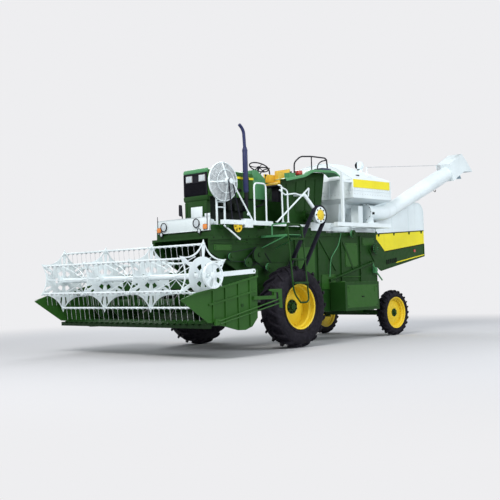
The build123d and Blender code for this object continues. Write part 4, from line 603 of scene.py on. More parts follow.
def build_bats():
    """Six bats: tube, tine clips and spring tines with their coils."""
    count = int(1.865 / TINE_PITCH)
    places = [HEADER_X + n * TINE_PITCH for n in range(-count, count + 1)
              if min(abs(n * TINE_PITCH - s) for s in REEL_STARS) >= 0.035]
    coil = [(0.008 * math.cos(t), 0.0175 + 0.004 * math.sin(t)) for t in (0, 1.26, 2.51, 3.77, 5.03)]
    for i, a in enumerate(turns(6, REEL_PHASE), 1):
        centre = around((HEADER_X, REEL_Y, REEL_Z), REEL_BAT_R, a)
        _, y, z = centre
        bat, tines = Piece().spindle([(-1.95, 0.0155), (1.95, 0.0155)], centre, steps=16), Piece()
        for x in places:
            bat.box(span(x, 0.016), span(y, 0.019), (z - 0.021, z + 0.017))
            bat.disc((x, y - 0.02, z), 0.008, 0.004, "Y", 6)
            tines.lathe(coil, (x + 0.024, y, z - 0.012), steps=12)
            tines.tube([(x + 0.03, y - 0.016, z - 0.010), (x + 0.03, y - 0.010, z - 0.09),
                        (x + 0.03, y + 0.004, z - TINE_DROP)], 0.003, 6, 0.05)
        bat.make(f"bat_{i}_bar", "white", f"bat_{i}", bevel=0.002, replaces=f"reel_bat_{i}")
        tines.make(f"bat_{i}_tines", "wire", f"bat_{i}")


def build_feed_auger():
    """Smooth tube with two helical flights, worn bright at their edges, and the retracting fingers."""
    centre = Vector((HEADER_X, AUGER_Y, AUGER_Z))
    tube = Piece().spindle([(-2.04, 0.03), (-1.975, 0.03), (-1.975, 0.12), (1.975, 0.12), (1.975, 0.03),
                            (2.04, 0.03)], centre, steps=48)
    for x in (-0.56, 0.56):
        tube.ring(around(centre, 0, 0, along=x), 0.126, 0.01, 0.02, steps=48)
    tube.make("feed_auger_tube", "green", "feed_auger", replaces="header_auger")
    flights, edges, steps, pitch = Piece(), Piece(), 36, 0.56
    for side in (1, -1):
        inner, outer, rim_line = [
            [around(centre, r, 2 * math.pi * k / steps, along=side * (1.966 - pitch * k / steps))
             for k in range(int(2.5 * steps) + 1)] for r in (0.118, 0.262, 0.263)]
        flights.loft([inner, outer], closed=False)
        edges.tube(rim_line, 0.005, 6)
    flights.make("feed_auger_flights", "green", "feed_auger", sheet=0.006)
    edges.make("feed_auger_edges", "steel", "feed_auger")
    fingers = Piece()
    for k in range(-3, 4):
        a, x = math.radians(75 * k), 0.14 * k
        fingers.rod(around(centre, 0.11, a, along=x), around(centre, 0.258, a, along=x), 0.008, 10)
        fingers.disc(around(centre, 0.122, a, along=x), 0.02, 0.004, steps=12)
    fingers.make("feed_auger_fingers", "steel", "feed_auger")


# Tractor on the deck

def bonnet_section(y, half, top):
    """Round-shouldered outline across the bonnet at one place along it."""
    right = [(half, BONNET_LOW), (half, top - 0.15)]
    right += [(half - 0.075 + 0.075 * math.cos(a), top - 0.105 + 0.075 * math.sin(a))
              for a in (0.25, 0.55, 0.85, 1.15, 1.4)]
    right += [(half * 0.45, top - 0.009)]
    return [(x, y, z) for x, z in [(-x, z) for x, z in right] + [(0, top)] + right[::-1]]


def build_bonnet():
    """Bonnet skin with its crown in the lighter green as a painted highlight, side louvres, latch straps and
    stripe.
    """
    sections = [bonnet_section(*station) for station in (
        (BONNET_FRONT + 0.028, 0.318, 3.374), (BONNET_FRONT + 0.05, 0.328, 3.39),
        (BONNET_FRONT + 0.12, BONNET_X, BONNET_TOP), (-0.6, BONNET_X, BONNET_TOP),
        (BONNET_BACK, 0.31, BONNET_TOP - 0.004))]
    n = len(sections[0])
    crown = Piece().loft(sections, columns=range(4, n - 5))
    # The crown is painted in the lighter green: painted highlight on the bonnet's top.
    crown.make("bonnet_crown", "green_painted_highlight", sheet=0.008, angle=50)
    Piece().loft(sections, columns=[*range(4), *range(n - 5, n - 1)]).make(
        "bonnet_sides", "green_bright", sheet=0.008, angle=50, replaces="tractor_bonnet")
    trim = Piece()
    for y in steps_of(9, -0.98, 0.05):
        trim.box((BONNET_X, BONNET_X + 0.012), (y, y + 0.02), (2.95, 3.13))
    trim.strip((BONNET_X + 0.006, -0.1, BONNET_LOW), (BONNET_X + 0.006, -0.1, 3.26), 0.03, 0.008)
    trim.mirror().make("bonnet_louvres", "green_dark", bevel=0.004)
    stripe = Piece().box((BONNET_X + 0.002, BONNET_X + 0.008), (-1.1, 0.04), (3.22, 3.262)).mirror()
    stripe.make("bonnet_stripe", "yellow", bevel=0.001)


def build_nose():
    """Grille with its bars and lamps, and the nose plates above and below it."""
    y = BONNET_FRONT
    grille, lamps, bezels = Piece(), Piece(), Piece()
    for x in (-0.305, 0.305):
        grille.box(span(x, 0.012), (y, y + 0.05), (2.88, 3.30))
    grille.box((-0.315, 0.315), (y, y + 0.05), (3.275, 3.30)).box((-0.3, 0.3), (y, y + 0.05), (3.12, 3.132))
    grille.box((-0.3, 0.3), (y + 0.03, y + 0.045), (2.88, 3.29))
    for x in steps_of(24, -0.288, 0.025):
        grille.box(span(x, 0.004), (y + 0.006, y + 0.03), (2.89, 3.13))
    grille.make("grille", "black", bevel=0.003, replaces="tractor_grille")
    for x in (-0.178, 0.178):
        lamps.box(span(x, 0.076), (y + 0.002, y + 0.03), (3.148, 3.262))
        bezels.box(span(x, 0.088), (y + 0.012, y + 0.032), (3.138, 3.272))
    lamps.make("grille_lamps", "lens", bevel=0.01, segments=2)
    bezels.make("grille_bezels", "chrome", bevel=0.006)
    nose = Piece().prism([(y + 0.01, 2.88), (y, 2.85), (y + 0.01, 2.79), (y + 0.06, 2.76), (y + 0.09, 2.88)],
                         -0.33, 0.33)
    nose.box((-0.26, 0.26), (y + 0.012, y + 0.03), (2.44, 2.77))
    for x in (-0.3, 0.24):
        nose.box((x, x + 0.06), (y + 0.005, y + 0.03), (2.40, 2.76))
    # The brow takes the lighter green: painted highlight on the nose's top.
    Piece().prism([(y + 0.004, 3.303), (y, 3.33), (y + 0.02, 3.374), (y + 0.05, 3.39), (y + 0.05, 3.303)],
                  -0.322, 0.322).make("bonnet_brow", "green_painted_highlight", bevel=0.008, segments=2)
    nose.make("tractor_nose", "green", bevel=0.012, segments=2)


def build_engine():
    """What shows of the engine under the bonnet: head, manifolds, filters, pump, starter."""
    iron = Piece().box((-0.2, 0.2), (-1.0, -0.25), (3.19, 3.26))
    iron.box((-0.16, 0.16), (-0.95, -0.3), (3.25, 3.31))
    for y in steps_of(4, -0.92, 0.19):
        iron.tube([(0.25, y, 3.08), (0.3, y, 3.08), (0.315, y, 3.02)], 0.022, 12, 0.03)
        iron.tube([(-0.25, y, 3.08), (-0.3, y, 3.1), (-0.31, y, 3.14)], 0.022, 12, 0.03)
    iron.tube([(0.318, -0.95, 3.01), (0.315, -0.3, 3.01)], 0.032, 14)
    iron.tube([(-0.312, -0.95, 3.15), (-0.312, -0.3, 3.15)], 0.032, 14)
    for y in (-0.78, -0.62):
        iron.disc((0.31, y, 2.68), 0.05, 0.09, "Z", 24, 0.01)
    iron.box((0.26, 0.35), (-0.5, -0.2), (2.6, 2.75)).disc((-0.31, -0.9, 2.75), 0.07, 0.06, "Y", 28, 0.008)
    iron.box((-0.33, -0.26), (-0.7, -0.3), (2.55, 2.68)).make("engine_fittings", "iron", bevel=0.006)


def build_exhaust():
    """Silencer with end caps and seam, upper pipe bent forward at its end, and the elbow from the engine."""
    x, y = 0.43, -0.27
    can = Piece().spindle([(2.95, 0.034), (2.985, 0.050), (3.78, 0.050), (3.80, 0.044), (3.83, 0.036)],
                          (x, y, 0), "Z", 36)
    for z in (3.0, 3.36, 3.76):
        can.ring((x, y, z), 0.0535, 0.006, 0.008, "Z", 36)
    can.tube([(x, y, 3.80), (x, y - 0.02, 4.12), (x, y - 0.06, 4.19), (x, y - 0.135, 4.255)], 0.031, 20, 0.1)
    neck = Piece().tube([(0.28, y, 2.64), (x, y, 2.64), (x, y, 2.97)], 0.036, 16, 0.08)
    neck.make("exhaust_neck", "black")
    can.make("exhaust", "exhaust", replaces="exhaust_pipe", angle=45)


def build_dashboard():
    """Instrument cowl and its gauges."""
    side = rounded_outline([(0.06, 2.86), (0.06, 3.43), (0.20, 3.44), (0.44, 3.27), (0.45, 2.86)], 0.04)
    cowl = Piece().prism(side, -0.286, 0.286)
    cowl.disc((0.29, 0.16, 3.30), 0.055, 0.006, "X", 28, 0.003)
    cowl.make("dash_cowl", "green_painted_highlight", bevel=0.008, segments=2, replaces="dashboard")
    rings, dials, place = Piece(), Piece(), spin((0, 0.33, 3.36), -35)
    for x, r in ((-0.14, 0.038), (-0.045, 0.032), (0.05, 0.038), (0.14, 0.032)):
        rings.ring((x, 0.02, 0.018), r, 0.006, 0.006, "Z", 28)
        dials.disc((x, 0.02, 0.015), r - 0.005, 0.003, "Z", 28)
    panel = Piece().box((-0.22, 0.22), (-0.10, 0.10), (0.0, 0.014)).moved(place)
    panel.make("dash_panel", "black", bevel=0.004)
    rings.moved(place).make("gauge_rings", "chrome")
    dials.moved(place).make("gauge_faces", "lens")


def build_controls():
    """Steering wheel and column, levers and pedals."""
    turn = spin((0, 0.57, 3.55), -24)
    grip, middle = [(0.013 * math.sin(t), 0.196 + 0.013 * math.cos(t)) for t in turns(12)], (0, 0, 0)
    wheel = Piece().lathe(grip, middle, "Z", 64)
    hub = [(-0.02, 0), (-0.02, 0.03), (0.0, 0.036), (0.014, 0.026), (0.016, 0)]
    wheel.lathe(hub, middle, "Z", 28, closed=False)
    for a in turns(3, 90):
        wheel.tube([around(middle, r, a, "Z", z) for r, z in ((0.02, 0), (0.1, -0.012), (0.192, 0))],
                   0.0085, 10, 0.05)
    wheel.moved(turn).make("steering_wheel_rim", "black", replaces="steering_wheel", angle=50)
    rods = Piece().rod(turn @ Vector((0, 0, -0.33)), turn @ Vector((0, 0, -0.02)), 0.021, 16)
    for x, y, top in ((-0.16, 0.52, 3.42), (0.19, 0.5, 3.36), (0.12, 0.74, 3.16), (-0.12, 0.78, 3.14)):
        knob = (x * 1.15, y + 0.03, top)
        rods.tube([(x, y - 0.06, 2.86), (x, y, top - 0.2), knob], 0.008, 8, 0.1)
        rods.spindle([(-0.02, 0.012), (0.0, 0.019), (0.02, 0.012)], knob, "Z", 16)
    for x in (-0.34, 0.3, 0.4):
        rods.box(span(x, 0.04), (0.34, 0.42), (2.84, 2.852))
        rods.tube([(x, 0.38, 2.84), (x, 0.30, 2.76), (x * 0.7, 0.16, 2.70)], 0.01, 8, 0.05)
    rods.make("levers", "black", bevel=0.003)


def cushion(name, size, crown, place, look="vinyl", grooves=0):
    """A padded block: crowned top, pulled-in sides, sewn channels and a piped edge."""
    half_x, half_y, thick = size
    n = 14
    channels = [2 * (g + 1) / (grooves + 1) - 1 for g in range(grooves)]
    top, bottom = [], []
    for u in steps_of(n + 1, -1, 2 / n):
        for v in steps_of(n + 1, -1, 2 / n):
            bulge = (1 - u ** 4) * (1 - v ** 4)
            pull = 1 - 0.035 * (1 - abs(u * v)) * max(abs(u), abs(v)) ** 6
            groove = sum(math.exp(-((v - middle) / 0.06) ** 2) for middle in channels)
            x, y = half_x * u * pull, half_y * v * pull
            top.append((x, y, thick * 0.55 + crown * bulge - 0.012 * groove * (1 - u ** 8)))
            bottom.append((x * 0.97, y * 0.97, 0))
    m, row = (n + 1) ** 2, n + 1
    faces = []
    for a in (row * i + j for i in range(n) for j in range(n)):
        faces += [(a, a + row, a + row + 1, a + 1), (m + a, m + a + 1, m + a + row + 1, m + a + row)]
    for k in range(n):
        for a, b in ((k, k + 1), (n * row + k, n * row + k + 1), (k * row, k * row + row),
                     (k * row + n, k * row + row + n)):
            faces.append((a, b, m + b, m + a))
    piece = Piece().add(top + bottom, faces)
    around_edge = ((-1, -1), (0, -1), (1, -1), (1, 0), (1, 1), (0, 1), (-1, 1), (-1, 0), (-1, -1))
    piece.tube([(half_x * u * 0.965, half_y * v * 0.965, thick * 0.56) for u, v in around_edge],
               0.006, 8, 0.03)
    piece.moved(place).make(name, look, angle=60)


def build_seat():
    """Seat pan and pedestal, sprung cushion, back and side pads, and the pad on the left fender."""
    side = [(0.88, 3.165), (0.90, 3.205), (1.27, 3.185), (1.31, 3.50), (1.325, 3.50), (1.30, 3.165)]
    pan = Piece().prism(rounded_outline(side, 0.02), -0.225, 0.225)
    pan.box((-0.11, 0.11), (1.0, 1.2), (2.845, 2.9)).box((-0.09, 0.09), (1.02, 1.18), (2.9, 3.17))
    for z in (2.95, 3.0, 3.05, 3.1):
        pan.ring((0, 1.1, z), 0.075, 0.012, 0.01, "Z", 24)
    pan.make("seat_pan", "black", bevel=0.006, replaces="operator_seat")
    cushion("seat_cushion", (0.215, 0.175, 0.07), 0.03, Matrix.Translation((0, 1.085, 3.196)), grooves=2)
    cushion("seat_back", (0.205, 0.15, 0.05), 0.022, spin((0, 1.285, 3.39), 84), grooves=1)
    for s, side in ((1, "left"), (-1, "right")):
        cushion(f"seat_side_{side}", (0.17, 0.085, 0.036), 0.012,
                spin((s * 0.188, 1.10, 3.37), s * 90, "Y") @ spin((0, 0, 0), 90, "Z"))
    cushion("fender_pad", (0.11, 0.14, 0.06), 0.02, Matrix.Translation((0.80, 1.62, 3.466)), "cushion", 1)


def build_fenders():
    """Fenders: pressed top skin with a knee, turned-down lip, inner panel with ribs, lamps and tool box."""
    line = [(0.31, 3.215), (0.5, 3.25), (0.90, 3.332), (1.13, 3.446), (1.83, 3.472), (2.0, 3.372)]
    top = [(p.x, p.y) for p in rounded(line, 0.09)]
    skin = Piece().loft([[(x, y, z - drop) for y, z in top] for x, drop in (
        (FENDER_IN, 0.012), (FENDER_IN + 0.02, 0.002), (0.8, 0.0), (FENDER_OUT - 0.02, 0.003),
        (FENDER_OUT - 0.004, 0.014), (FENDER_OUT, 0.05))], closed=False)
    # The top skin is painted in the lighter green: painted highlight on the fenders' tops.
    skin.mirror().make("fender_tops", "green_painted_highlight", sheet=0.006, angle=45, replaces="fenders")
    under = [(y, z - 0.02) for y, z in top if 0.45 < y < 1.85]
    panel = Piece().prism(under + [(1.66, 2.46), (0.66, 2.30), (0.5, 2.38)], FENDER_IN, FENDER_IN + 0.014)
    for k, y in enumerate(steps_of(4, 0.6, 0.3)):
        panel.strip((FENDER_IN + 0.02, y, 2.62), (FENDER_IN + 0.02, y + 0.06, 3.16 + 0.05 * k), 0.04, 0.016)
    panel.mirror().make("fender_panels", "green", bevel=0.004)
    red = Piece().box((0.72, 0.86), (0.80, 0.92), (3.33, 3.415)).mirror()
    red.make("fender_lamps", "red", bevel=0.012, segments=2)
    tool = Piece().box((0.72, 0.86), (0.52, 0.70), (3.255, 3.345))
    tool.box((0.715, 0.865), (0.515, 0.705), (3.34, 3.352)).make("fender_box", "green_painted_highlight", bevel=0.006)


def build_fender_rails():
    """Black hand hoops on the fenders: main bow, middle upright and the smaller bow at the back."""
    x = (FENDER_IN + FENDER_OUT) / 2
    rails = Piece()
    left = ((0.735, 3.29), (0.735, 3.57), (0.93, 3.705), (1.27, 3.733), (1.75, 3.733), (1.78, 3.46))
    right = ((1.27, 3.44), (1.27, 3.62), (1.42, 3.70), (1.74, 3.71), (1.78, 3.46))
    small = ((1.45, 3.46), (1.46, 3.57), (1.56, 3.65), (1.76, 3.70))
    feet = ((0.75, 3.305), (1.78, 3.468), (1.27, 3.457), (1.45, 3.461))
    for at, path, r, sides, bend in (
            (x, left, 0.015, 14, 0.08), (x, ((1.27, 3.45), (1.27, 3.735)), 0.012, 12, 0),
            (-x, right, 0.015, 14, 0.08), (-x, small, 0.013, 12, 0.06), (x, small, 0.013, 12, 0.06)):
        rails.tube([(at, y, z) for y, z in path], r, sides, bend)
    for at, places in ((-x, feet[1:]), (x, feet)):
        rails.bolts([(at, y, z) for y, z in places], 0.03, 0.005, "Z", 18)
    rails.make("fender_bows", "black", replaces="fender_rails", angle=45)


# Front of the deck

def build_lamp_board():
    """Folded board with its upper block, two round headlamps, ambers, fog lamps, marker rods and mirror."""
    y = BOARD_Y
    board = Piece().box((-BOARD_HALF, BOARD_HALF), (y + 0.006, y + 0.018), (BOARD_LOW, BOARD_TOP))
    for z in (BOARD_LOW, BOARD_TOP - 0.012):
        board.box((-BOARD_HALF, BOARD_HALF), (y, y + 0.03), (z, z + 0.012))
    for x in (-BOARD_HALF, BOARD_HALF - 0.012):
        board.box((x, x + 0.012), (y, y + 0.03), (BOARD_LOW, BOARD_TOP))
    board.box((0.23, 0.51), (y + 0.004, y + 0.03), (2.435, 2.63))
    board.box((0.58, 0.71), (y + 0.012, y + 0.03), (BOARD_TOP, 2.5))
    for x in (-0.54, 0.54):
        board.box(span(x, 0.04), (y + 0.025, -1.18), (2.29, 2.37))
        board.strip((x, y + 0.03, 2.42), (x, -1.25, 2.375), 0.05, 0.012)
    board.make("lamp_board_panel", "white", bevel=0.004, segments=2, replaces="lamp_board")
    bezels, lenses, ambers, dark = Piece(), Piece(), Piece(), Piece()
    for x, z, r in ((-0.524, 2.312, 0.085), (0.377, 2.335, 0.085),
                    (-0.6, 2.178, 0.046), (0.45, 2.19, 0.046)):
        bezels.lathe([(0.02, r * 0.7), (-0.012, r), (-0.022, r), (-0.024, r * 0.9), (-0.016, r * 0.84),
                      (0, r * 0.7)], (x, y, z), "Y")
        lenses.lathe([(-0.006, 0), (-0.02, 0), (-0.019, r * 0.4), (-0.012, r * 0.86), (-0.006, r * 0.86)],
                     (x, y, z), "Y", closed=False)
    for x in (-0.663, 0.605):
        ambers.box(span(x, 0.052), (y - 0.022, y + 0.002), (2.215, 2.305))
        dark.box(span(x, 0.056), (y - 0.004, y + 0.008), (2.209, 2.311))
    for x in (-0.705, 0.66):
        dark.rod((x, y - 0.006, 2.3), (x, y - 0.006, 2.52), 0.007, 8)
    for x, z in ((0.45, 2.19), (-0.6, 2.185)):
        dark.box(span(x, 0.035), (y, y + 0.04), span(z, 0.01))
    bezels.make("lamp_bezels", "black")
    lenses.make("lamp_lenses", "lens")
    ambers.make("amber_lamps", "amber", bevel=0.008, segments=2)
    dark.tube([(-0.03, y + 0.02, 2.435), (-0.03, y + 0.02, 2.50), (-0.06, y + 0.02, 2.56)], 0.011, 10)
    dark.prism(rounded_outline([(-0.12, 2.50), (-0.03, 2.48), (-0.045, 2.70), (-0.115, 2.71)], 0.025),
               y + 0.012, y + 0.036, "Y")
    dark.make("mirror_and_rods", "black", bevel=0.003)
    Piece().prism(rounded_outline([(-0.11, 2.51), (-0.04, 2.49), (-0.053, 2.69), (-0.108, 2.70)], 0.02),
                  y + 0.034, y + 0.038, "Y").make("mirror_glass", "chrome")


def build_dust_screen():
    """Rotary screen: rolled rim, wire mesh over a coned face, cross bars and hub."""
    place = (SCREEN_X, SCREEN_Y, SCREEN_Z)
    low, high = -0.045, 0.055
    drum = Piece().lathe([(-0.075, 0.335), (-0.078, 0.352), (-0.07, 0.362), (-0.05, 0.364), (-0.036, 0.358),
                          (-0.04, 0.345), (-0.06, 0.343)], place, steps=72)
    drum.lathe([(0.02, 0.205), (0.03, 0.215), (0.024, 0.222), (0.014, 0.212)], place, steps=56)
    bar = Piece().strip((low + 0.006, 0.345, 0), (high + 0.006, 0.05, 0), 0.03, 0.014)
    for k in range(4):
        drum.join(bar, spin(place, 4 + 90 * k))
    drum.lathe([(0.04, 0.022), (0.04, 0.062), (0.088, 0.062), (0.094, 0.05), (0.104, 0.048), (0.104, 0.022)],
               place, steps=32)
    drum.make("screen_frame", "white", "dust_screen", bevel=0.002, replaces="screen_drum")
    Piece().lathe([(low - 0.006, 0.345), (high - 0.006, 0.05), (high - 0.01, 0.05), (low - 0.01, 0.345)],
                  place, steps=56).make("screen_backing", "white", "dust_screen")
    wires = Piece()
    for degrees in (38, 128):
        for offset in steps_of(29, -0.336, 0.024):
            reach = math.sqrt(0.344 ** 2 - offset ** 2)
            path = [(high + (low - high) * (math.hypot(across, offset) - 0.05) / 0.295, across, offset)
                    for across in steps_of(9, -reach, reach / 4)]
            wires.tube([spin(place, degrees) @ Vector(p) for p in path], 0.0042, 6)
    wires.make("screen_mesh", "wire", "dust_screen")


def build_screen_stand():
    """Posts, rungs and bearing of the screen, its belt to the deck pulley, and the strut to the deck."""
    x, front, back = SCREEN_X - 0.135, SCREEN_Y - 0.1, SCREEN_Y + 0.1
    stand = Piece()
    for y in (front, back):
        stand.tube([(x, y, DECK_TOP), (x, y, 3.11)], 0.02, 14)
        stand.box(span(x, 0.045), span(y, 0.035), (DECK_TOP, DECK_TOP + 0.01))
    for z in (2.62, 2.72, 3.02, 3.1):
        stand.rod((x, front, z), (x, back, z), 0.014, 10)
    stand.disc((x, SCREEN_Y, SCREEN_Z), 0.05, 0.03, "X", 24, 0.004)
    stand.box(span(x, 0.02), (front, back), (3.04, 3.12))
    stand.rod((x, SCREEN_Y, SCREEN_Z), (SCREEN_X + 0.115, SCREEN_Y, SCREEN_Z), 0.019, 16)
    stand.tube([(SCREEN_X + 0.112, SCREEN_Y + 0.02, SCREEN_Z), (0.93, SCREEN_Y + 0.02, SCREEN_Z + 0.01),
                (0.93, -0.76, 2.55), (0.93, -0.63, 2.375)], 0.015, 12, 0.03)
    stand.disc((0.93, -0.735, 2.49), 0.026, 0.018, "X", 12)
    stand.strip((0.93, -1.38, 2.275), (0.93, -0.97, 2.02), 0.03, 0.014)
    stand.make("screen_stand_tubes", "white", bevel=0.002, replaces="screen_stand")
    x, y, z, r = DECK_PULLEY
    belt_run(DECK_PULLEY, (x, SCREEN_Y, SCREEN_Z, 0.04), 0.012).make("screen_belt", "belt")
    pulley(DECK_PULLEY[:3], r, 0.018, 5).rod((0.86, y, z), (x, y, z), 0.02, 14).make(
        "deck_pulley", "rim", slot="yellow_paint", bevel=0.0015)
    groove = [(-0.018, 0.05), (-0.004, 0.038), (0.004, 0.038), (0.018, 0.05)]
    Piece().spindle(groove, (x, SCREEN_Y, SCREEN_Z),
                    steps=32).make("screen_hub_pulley", "white")


def pulley(centre, r, half, slots):
    """A grooved pulley on an axle along X, with slots in its web."""
    wheel = Piece().lathe([(half * x, r * share) for x, share in (
        (-1, 0.84), (-1, 1), (-0.3, 0.9), (0.3, 0.9), (1, 1), (1, 0.84), (0.3, 0.8), (-0.3, 0.8))], centre)
    wheel.spindle([(-half, r * 0.3), (half * 1.1, r * 0.3), (half * 1.3, r * 0.21)], centre, steps=28)
    web = ((0.2, -0.16), (0.82, -0.24), (0.82, 0.24), (0.2, 0.16))
    spoke = Piece().prism([(r * y, r * z) for y, z in web], -half * 0.25, half * 0.25)
    for k in range(slots):
        wheel.join(spoke, spin(centre, 360 * k / slots))
    return wheel


def belt_run(low, high, thick, wide=0.022):
    """A belt round two pulleys, each (x, y, z, radius)."""
    a, b = Vector(low[1:3]), Vector(high[1:3])
    base = math.atan2(b.y - a.y, b.x - a.x)
    lean = math.asin((low[3] - high[3]) / (b - a).length)
    arcs = ((low, base + math.pi / 2 - lean, math.pi + 2 * lean),
            (high, base - math.pi / 2 + lean, math.pi - 2 * lean))
    rows = [[around((low[0], y, z), r + extra, start + sweep * k / 16, along=side * wide / 2)
             for (_, y, z, r), start, sweep in arcs for k in range(17)]
            for extra, side in ((0, -1), (thick, -1), (thick, 1), (0, 1))]
    return Piece().loft(rows, ring=True)


# Rails, ladder and step

def build_rails():
    """Edge beams of the deck with their hoops, the wavy bar, the long stay and the tensioner tube."""
    rails, base = Piece(), 2.2903
    for s in (-1, 1):
        for out, top, front, back in ((0.955, 2.37, -1.4, -0.1), (0.935, 2.335, -0.1, 0.9)):
            rails.prism([(s * x, z) for x, z in ((0.865, base), (out, base), (out, top), (0.865, top))],
                        front, back, "Y")
    rails.bolts([(s * 0.957, y, 2.33) for y in steps_of(7, -1.32, 0.195) for s in (-1, 1)], 0.011, 0.006)
    rails.box((0.86, 0.965), (-0.86, -0.66), (2.24, 2.40)).box((0.80, 0.812), (1.19, 3.34), (2.235, 2.40))
    for path, r, sides, bend in (
            (((-0.55, RAIL_FOOT), (-0.55, 3.08), (-0.23, 3.08), (-0.23, RAIL_FOOT)), 0.016, 14, 0.09),
            (((0.13, 3.08), (0.22, 3.07), (0.23, RAIL_FOOT)), 0.016, 14, 0.05),
            (((0.2, 3.04), (0.385, 2.99), (0.385, RAIL_FOOT)), 0.016, 14, 0.07),
            (((0.16, 2.99), (0.25, 2.93), (0.31, 2.9), (0.6, 2.94), (0.85, 2.9)), 0.016, 12, 0.05),
            (((0.06, RAIL_FOOT), (1.03, 3.07), (1.0, 2.9)), 0.017, 12, 0.02)):
        rails.tube([(RAIL_X, y, z) for y, z in path], r, sides, bend)
    feet = [(RAIL_X, y, RAIL_FOOT + 0.008) for y in (-0.55, -0.23, 0.23, 0.385, 0.06)]
    rails.bolts(feet, 0.03, 0.005, "Z", 18)
    rails.make("deck_rails", "white", bevel=0.003, replaces="handrails")
    arm = Piece().rod((0.93, 0.86, 2.93), (0.97, 1.12, 2.64), 0.036, 20)
    arm.rod((0.9, 0.86, 2.93), (0.66, 0.86, 2.93), 0.02)
    arm.disc((0.96, 1.12, 2.63), 0.045, 0.03, "X", 24, 0.004)
    arm.make("tensioner", "white")


def ladder_x(z):
    """The ladder's place across at a height; it leans out towards its foot."""
    return 1.48 + 0.13 / 1.43 * (2.25 - z)


def build_ladder():
    """Ladder tubes, ribbed treads and the step plate at its head with gussets and guard."""
    front, rear, foot = LADDER_FRONT, LADDER_REAR, 0.84
    low = (ladder_x(foot), front + 0.16, foot)
    rungs = Piece().tube([low, (ladder_x(1.02), front, 1.02), (ladder_x(2.28), front, 2.28)],
                         0.0155, 14, 0.12)
    rungs.tube([low, (ladder_x(foot), rear, foot), (ladder_x(2.23), rear, 2.23), (1.47, rear - 0.06, 2.28),
                (1.47, front, 2.28)], 0.0155, 14, 0.1)
    for z in (1.2, 1.63, 2.01):
        x = ladder_x(z)
        rungs.box((x - 0.026, x + 0.04), (front, rear), (z - 0.018, z - 0.012))
        for side in (x - 0.026, x + 0.036):
            rungs.box((side, side + 0.004), (front, rear), span(z, 0.018))
        for y in steps_of(7, front + 0.03, 0.052):
            rungs.box((x - 0.02, x + 0.034), (y, y + 0.012), (z - 0.012, z + 0.016))
    handle = ((1.46, 2.1), (1.46, 2.27), (1.3, 2.285), (1.08, 2.285), (1.08, 2.1))
    rungs.tube([(x, rear, z) for x, z in handle], 0.0135, 12, 0.08)
    rungs.make("ladder_frame", "green", bevel=0.002, replaces="ladder")
    step = Piece().box((0.8035, 1.455), (front, rear), (2.085, 2.1))
    for x in steps_of(9, 0.86, 0.062):
        step.box((x, x + 0.015), (front + 0.03, rear - 0.03), (2.1, 2.104))
    for y in (front, rear - 0.014):
        step.box((0.8035, 1.456), (y, y + 0.014), (2.062, 2.1))
        step.strip((0.81, y + 0.007, 1.87), (1.4, y + 0.007, 2.06), 0.02, 0.012, "Y")
    y = front + 0.016
    step.tube([(1.08, y, 2.09), (1.08, y, 2.3), (1.44, y, 2.3)], 0.0135, 12, 0.05)
    step.make("step_plate", "green_painted_highlight", bevel=0.003, replaces="platform")


# Drives on the flanks

def build_drives():
    """Main pulley with its yellow hub, the belts, and the small pulleys of the left flank."""
    x, y, z = MAIN_PULLEY
    Piece().lathe([(-0.04, 0.1), (-0.04, 0.168), (0.036, 0.168), (0.042, 0.155), (0.042, 0.1)], MAIN_PULLEY,
                  steps=56).make("main_pulley", "white", replaces="drive_pulley")
    Piece().spindle([(0.0, 0.108), (0.044, 0.108), (0.048, 0.09), (0.06, 0.05)], MAIN_PULLEY,
                    steps=48).make("main_hub", "rim", slot="yellow_paint")
    dark = Piece()
    for a in turns(8):
        dark.disc(around(MAIN_PULLEY, 0.128, a, along=0.042), 0.017, 0.003, steps=16)
        dark.disc(around(MAIN_PULLEY, 0.075, a, along=0.048), 0.009, 0.005, steps=6)
    _, low_y, low_z = LOW_PULLEY
    dark.rod((0.777, low_y, low_z), (1.05, low_y, low_z), 0.035, 20)
    dark.rod((0.76, y, z), (x - 0.03, y, z), 0.044, 24)
    dark.make("pulley_bolts", "iron")
    belts = Piece()
    for place in (0.99, 1.02, 1.05):
        belts.join(belt_run((place, low_y, low_z, 0.165), (place, y, z, 0.166), 0.03, 0.028))
    driving = FLANK_PULLEYS[3]
    for k in (1, 2, 0):
        (ay, az, ar), (by, bz, br) = driving, FLANK_PULLEYS[k]
        belts.join(belt_run((0.866 + 0.012 * k, ay, az, ar * 0.93), (0, by, bz, br * 0.93), 0.009, 0.016))
    belts.make("belts", "belt", replaces="drive_belts")
    dark_wheels, wheels = pulley(LOW_PULLEY, 0.166, 0.045, 6), Piece()
    for py, pz, r in FLANK_PULLEYS:
        wheel = pulley((0.882, py, pz), r, 0.02, 5 if r > 0.1 else 4)
        if (py, pz, r) == driving:
            dark_wheels.join(wheel)
        else:
            wheels.join(wheel).rod((0.8, py, pz), (0.9, py, pz), r * 0.24, 14)
    dark_wheels.make("dark_pulleys", "iron", bevel=0.001)
    wheels.make("flank_pulley_wheels", "green_painted_highlight", bevel=0.001)


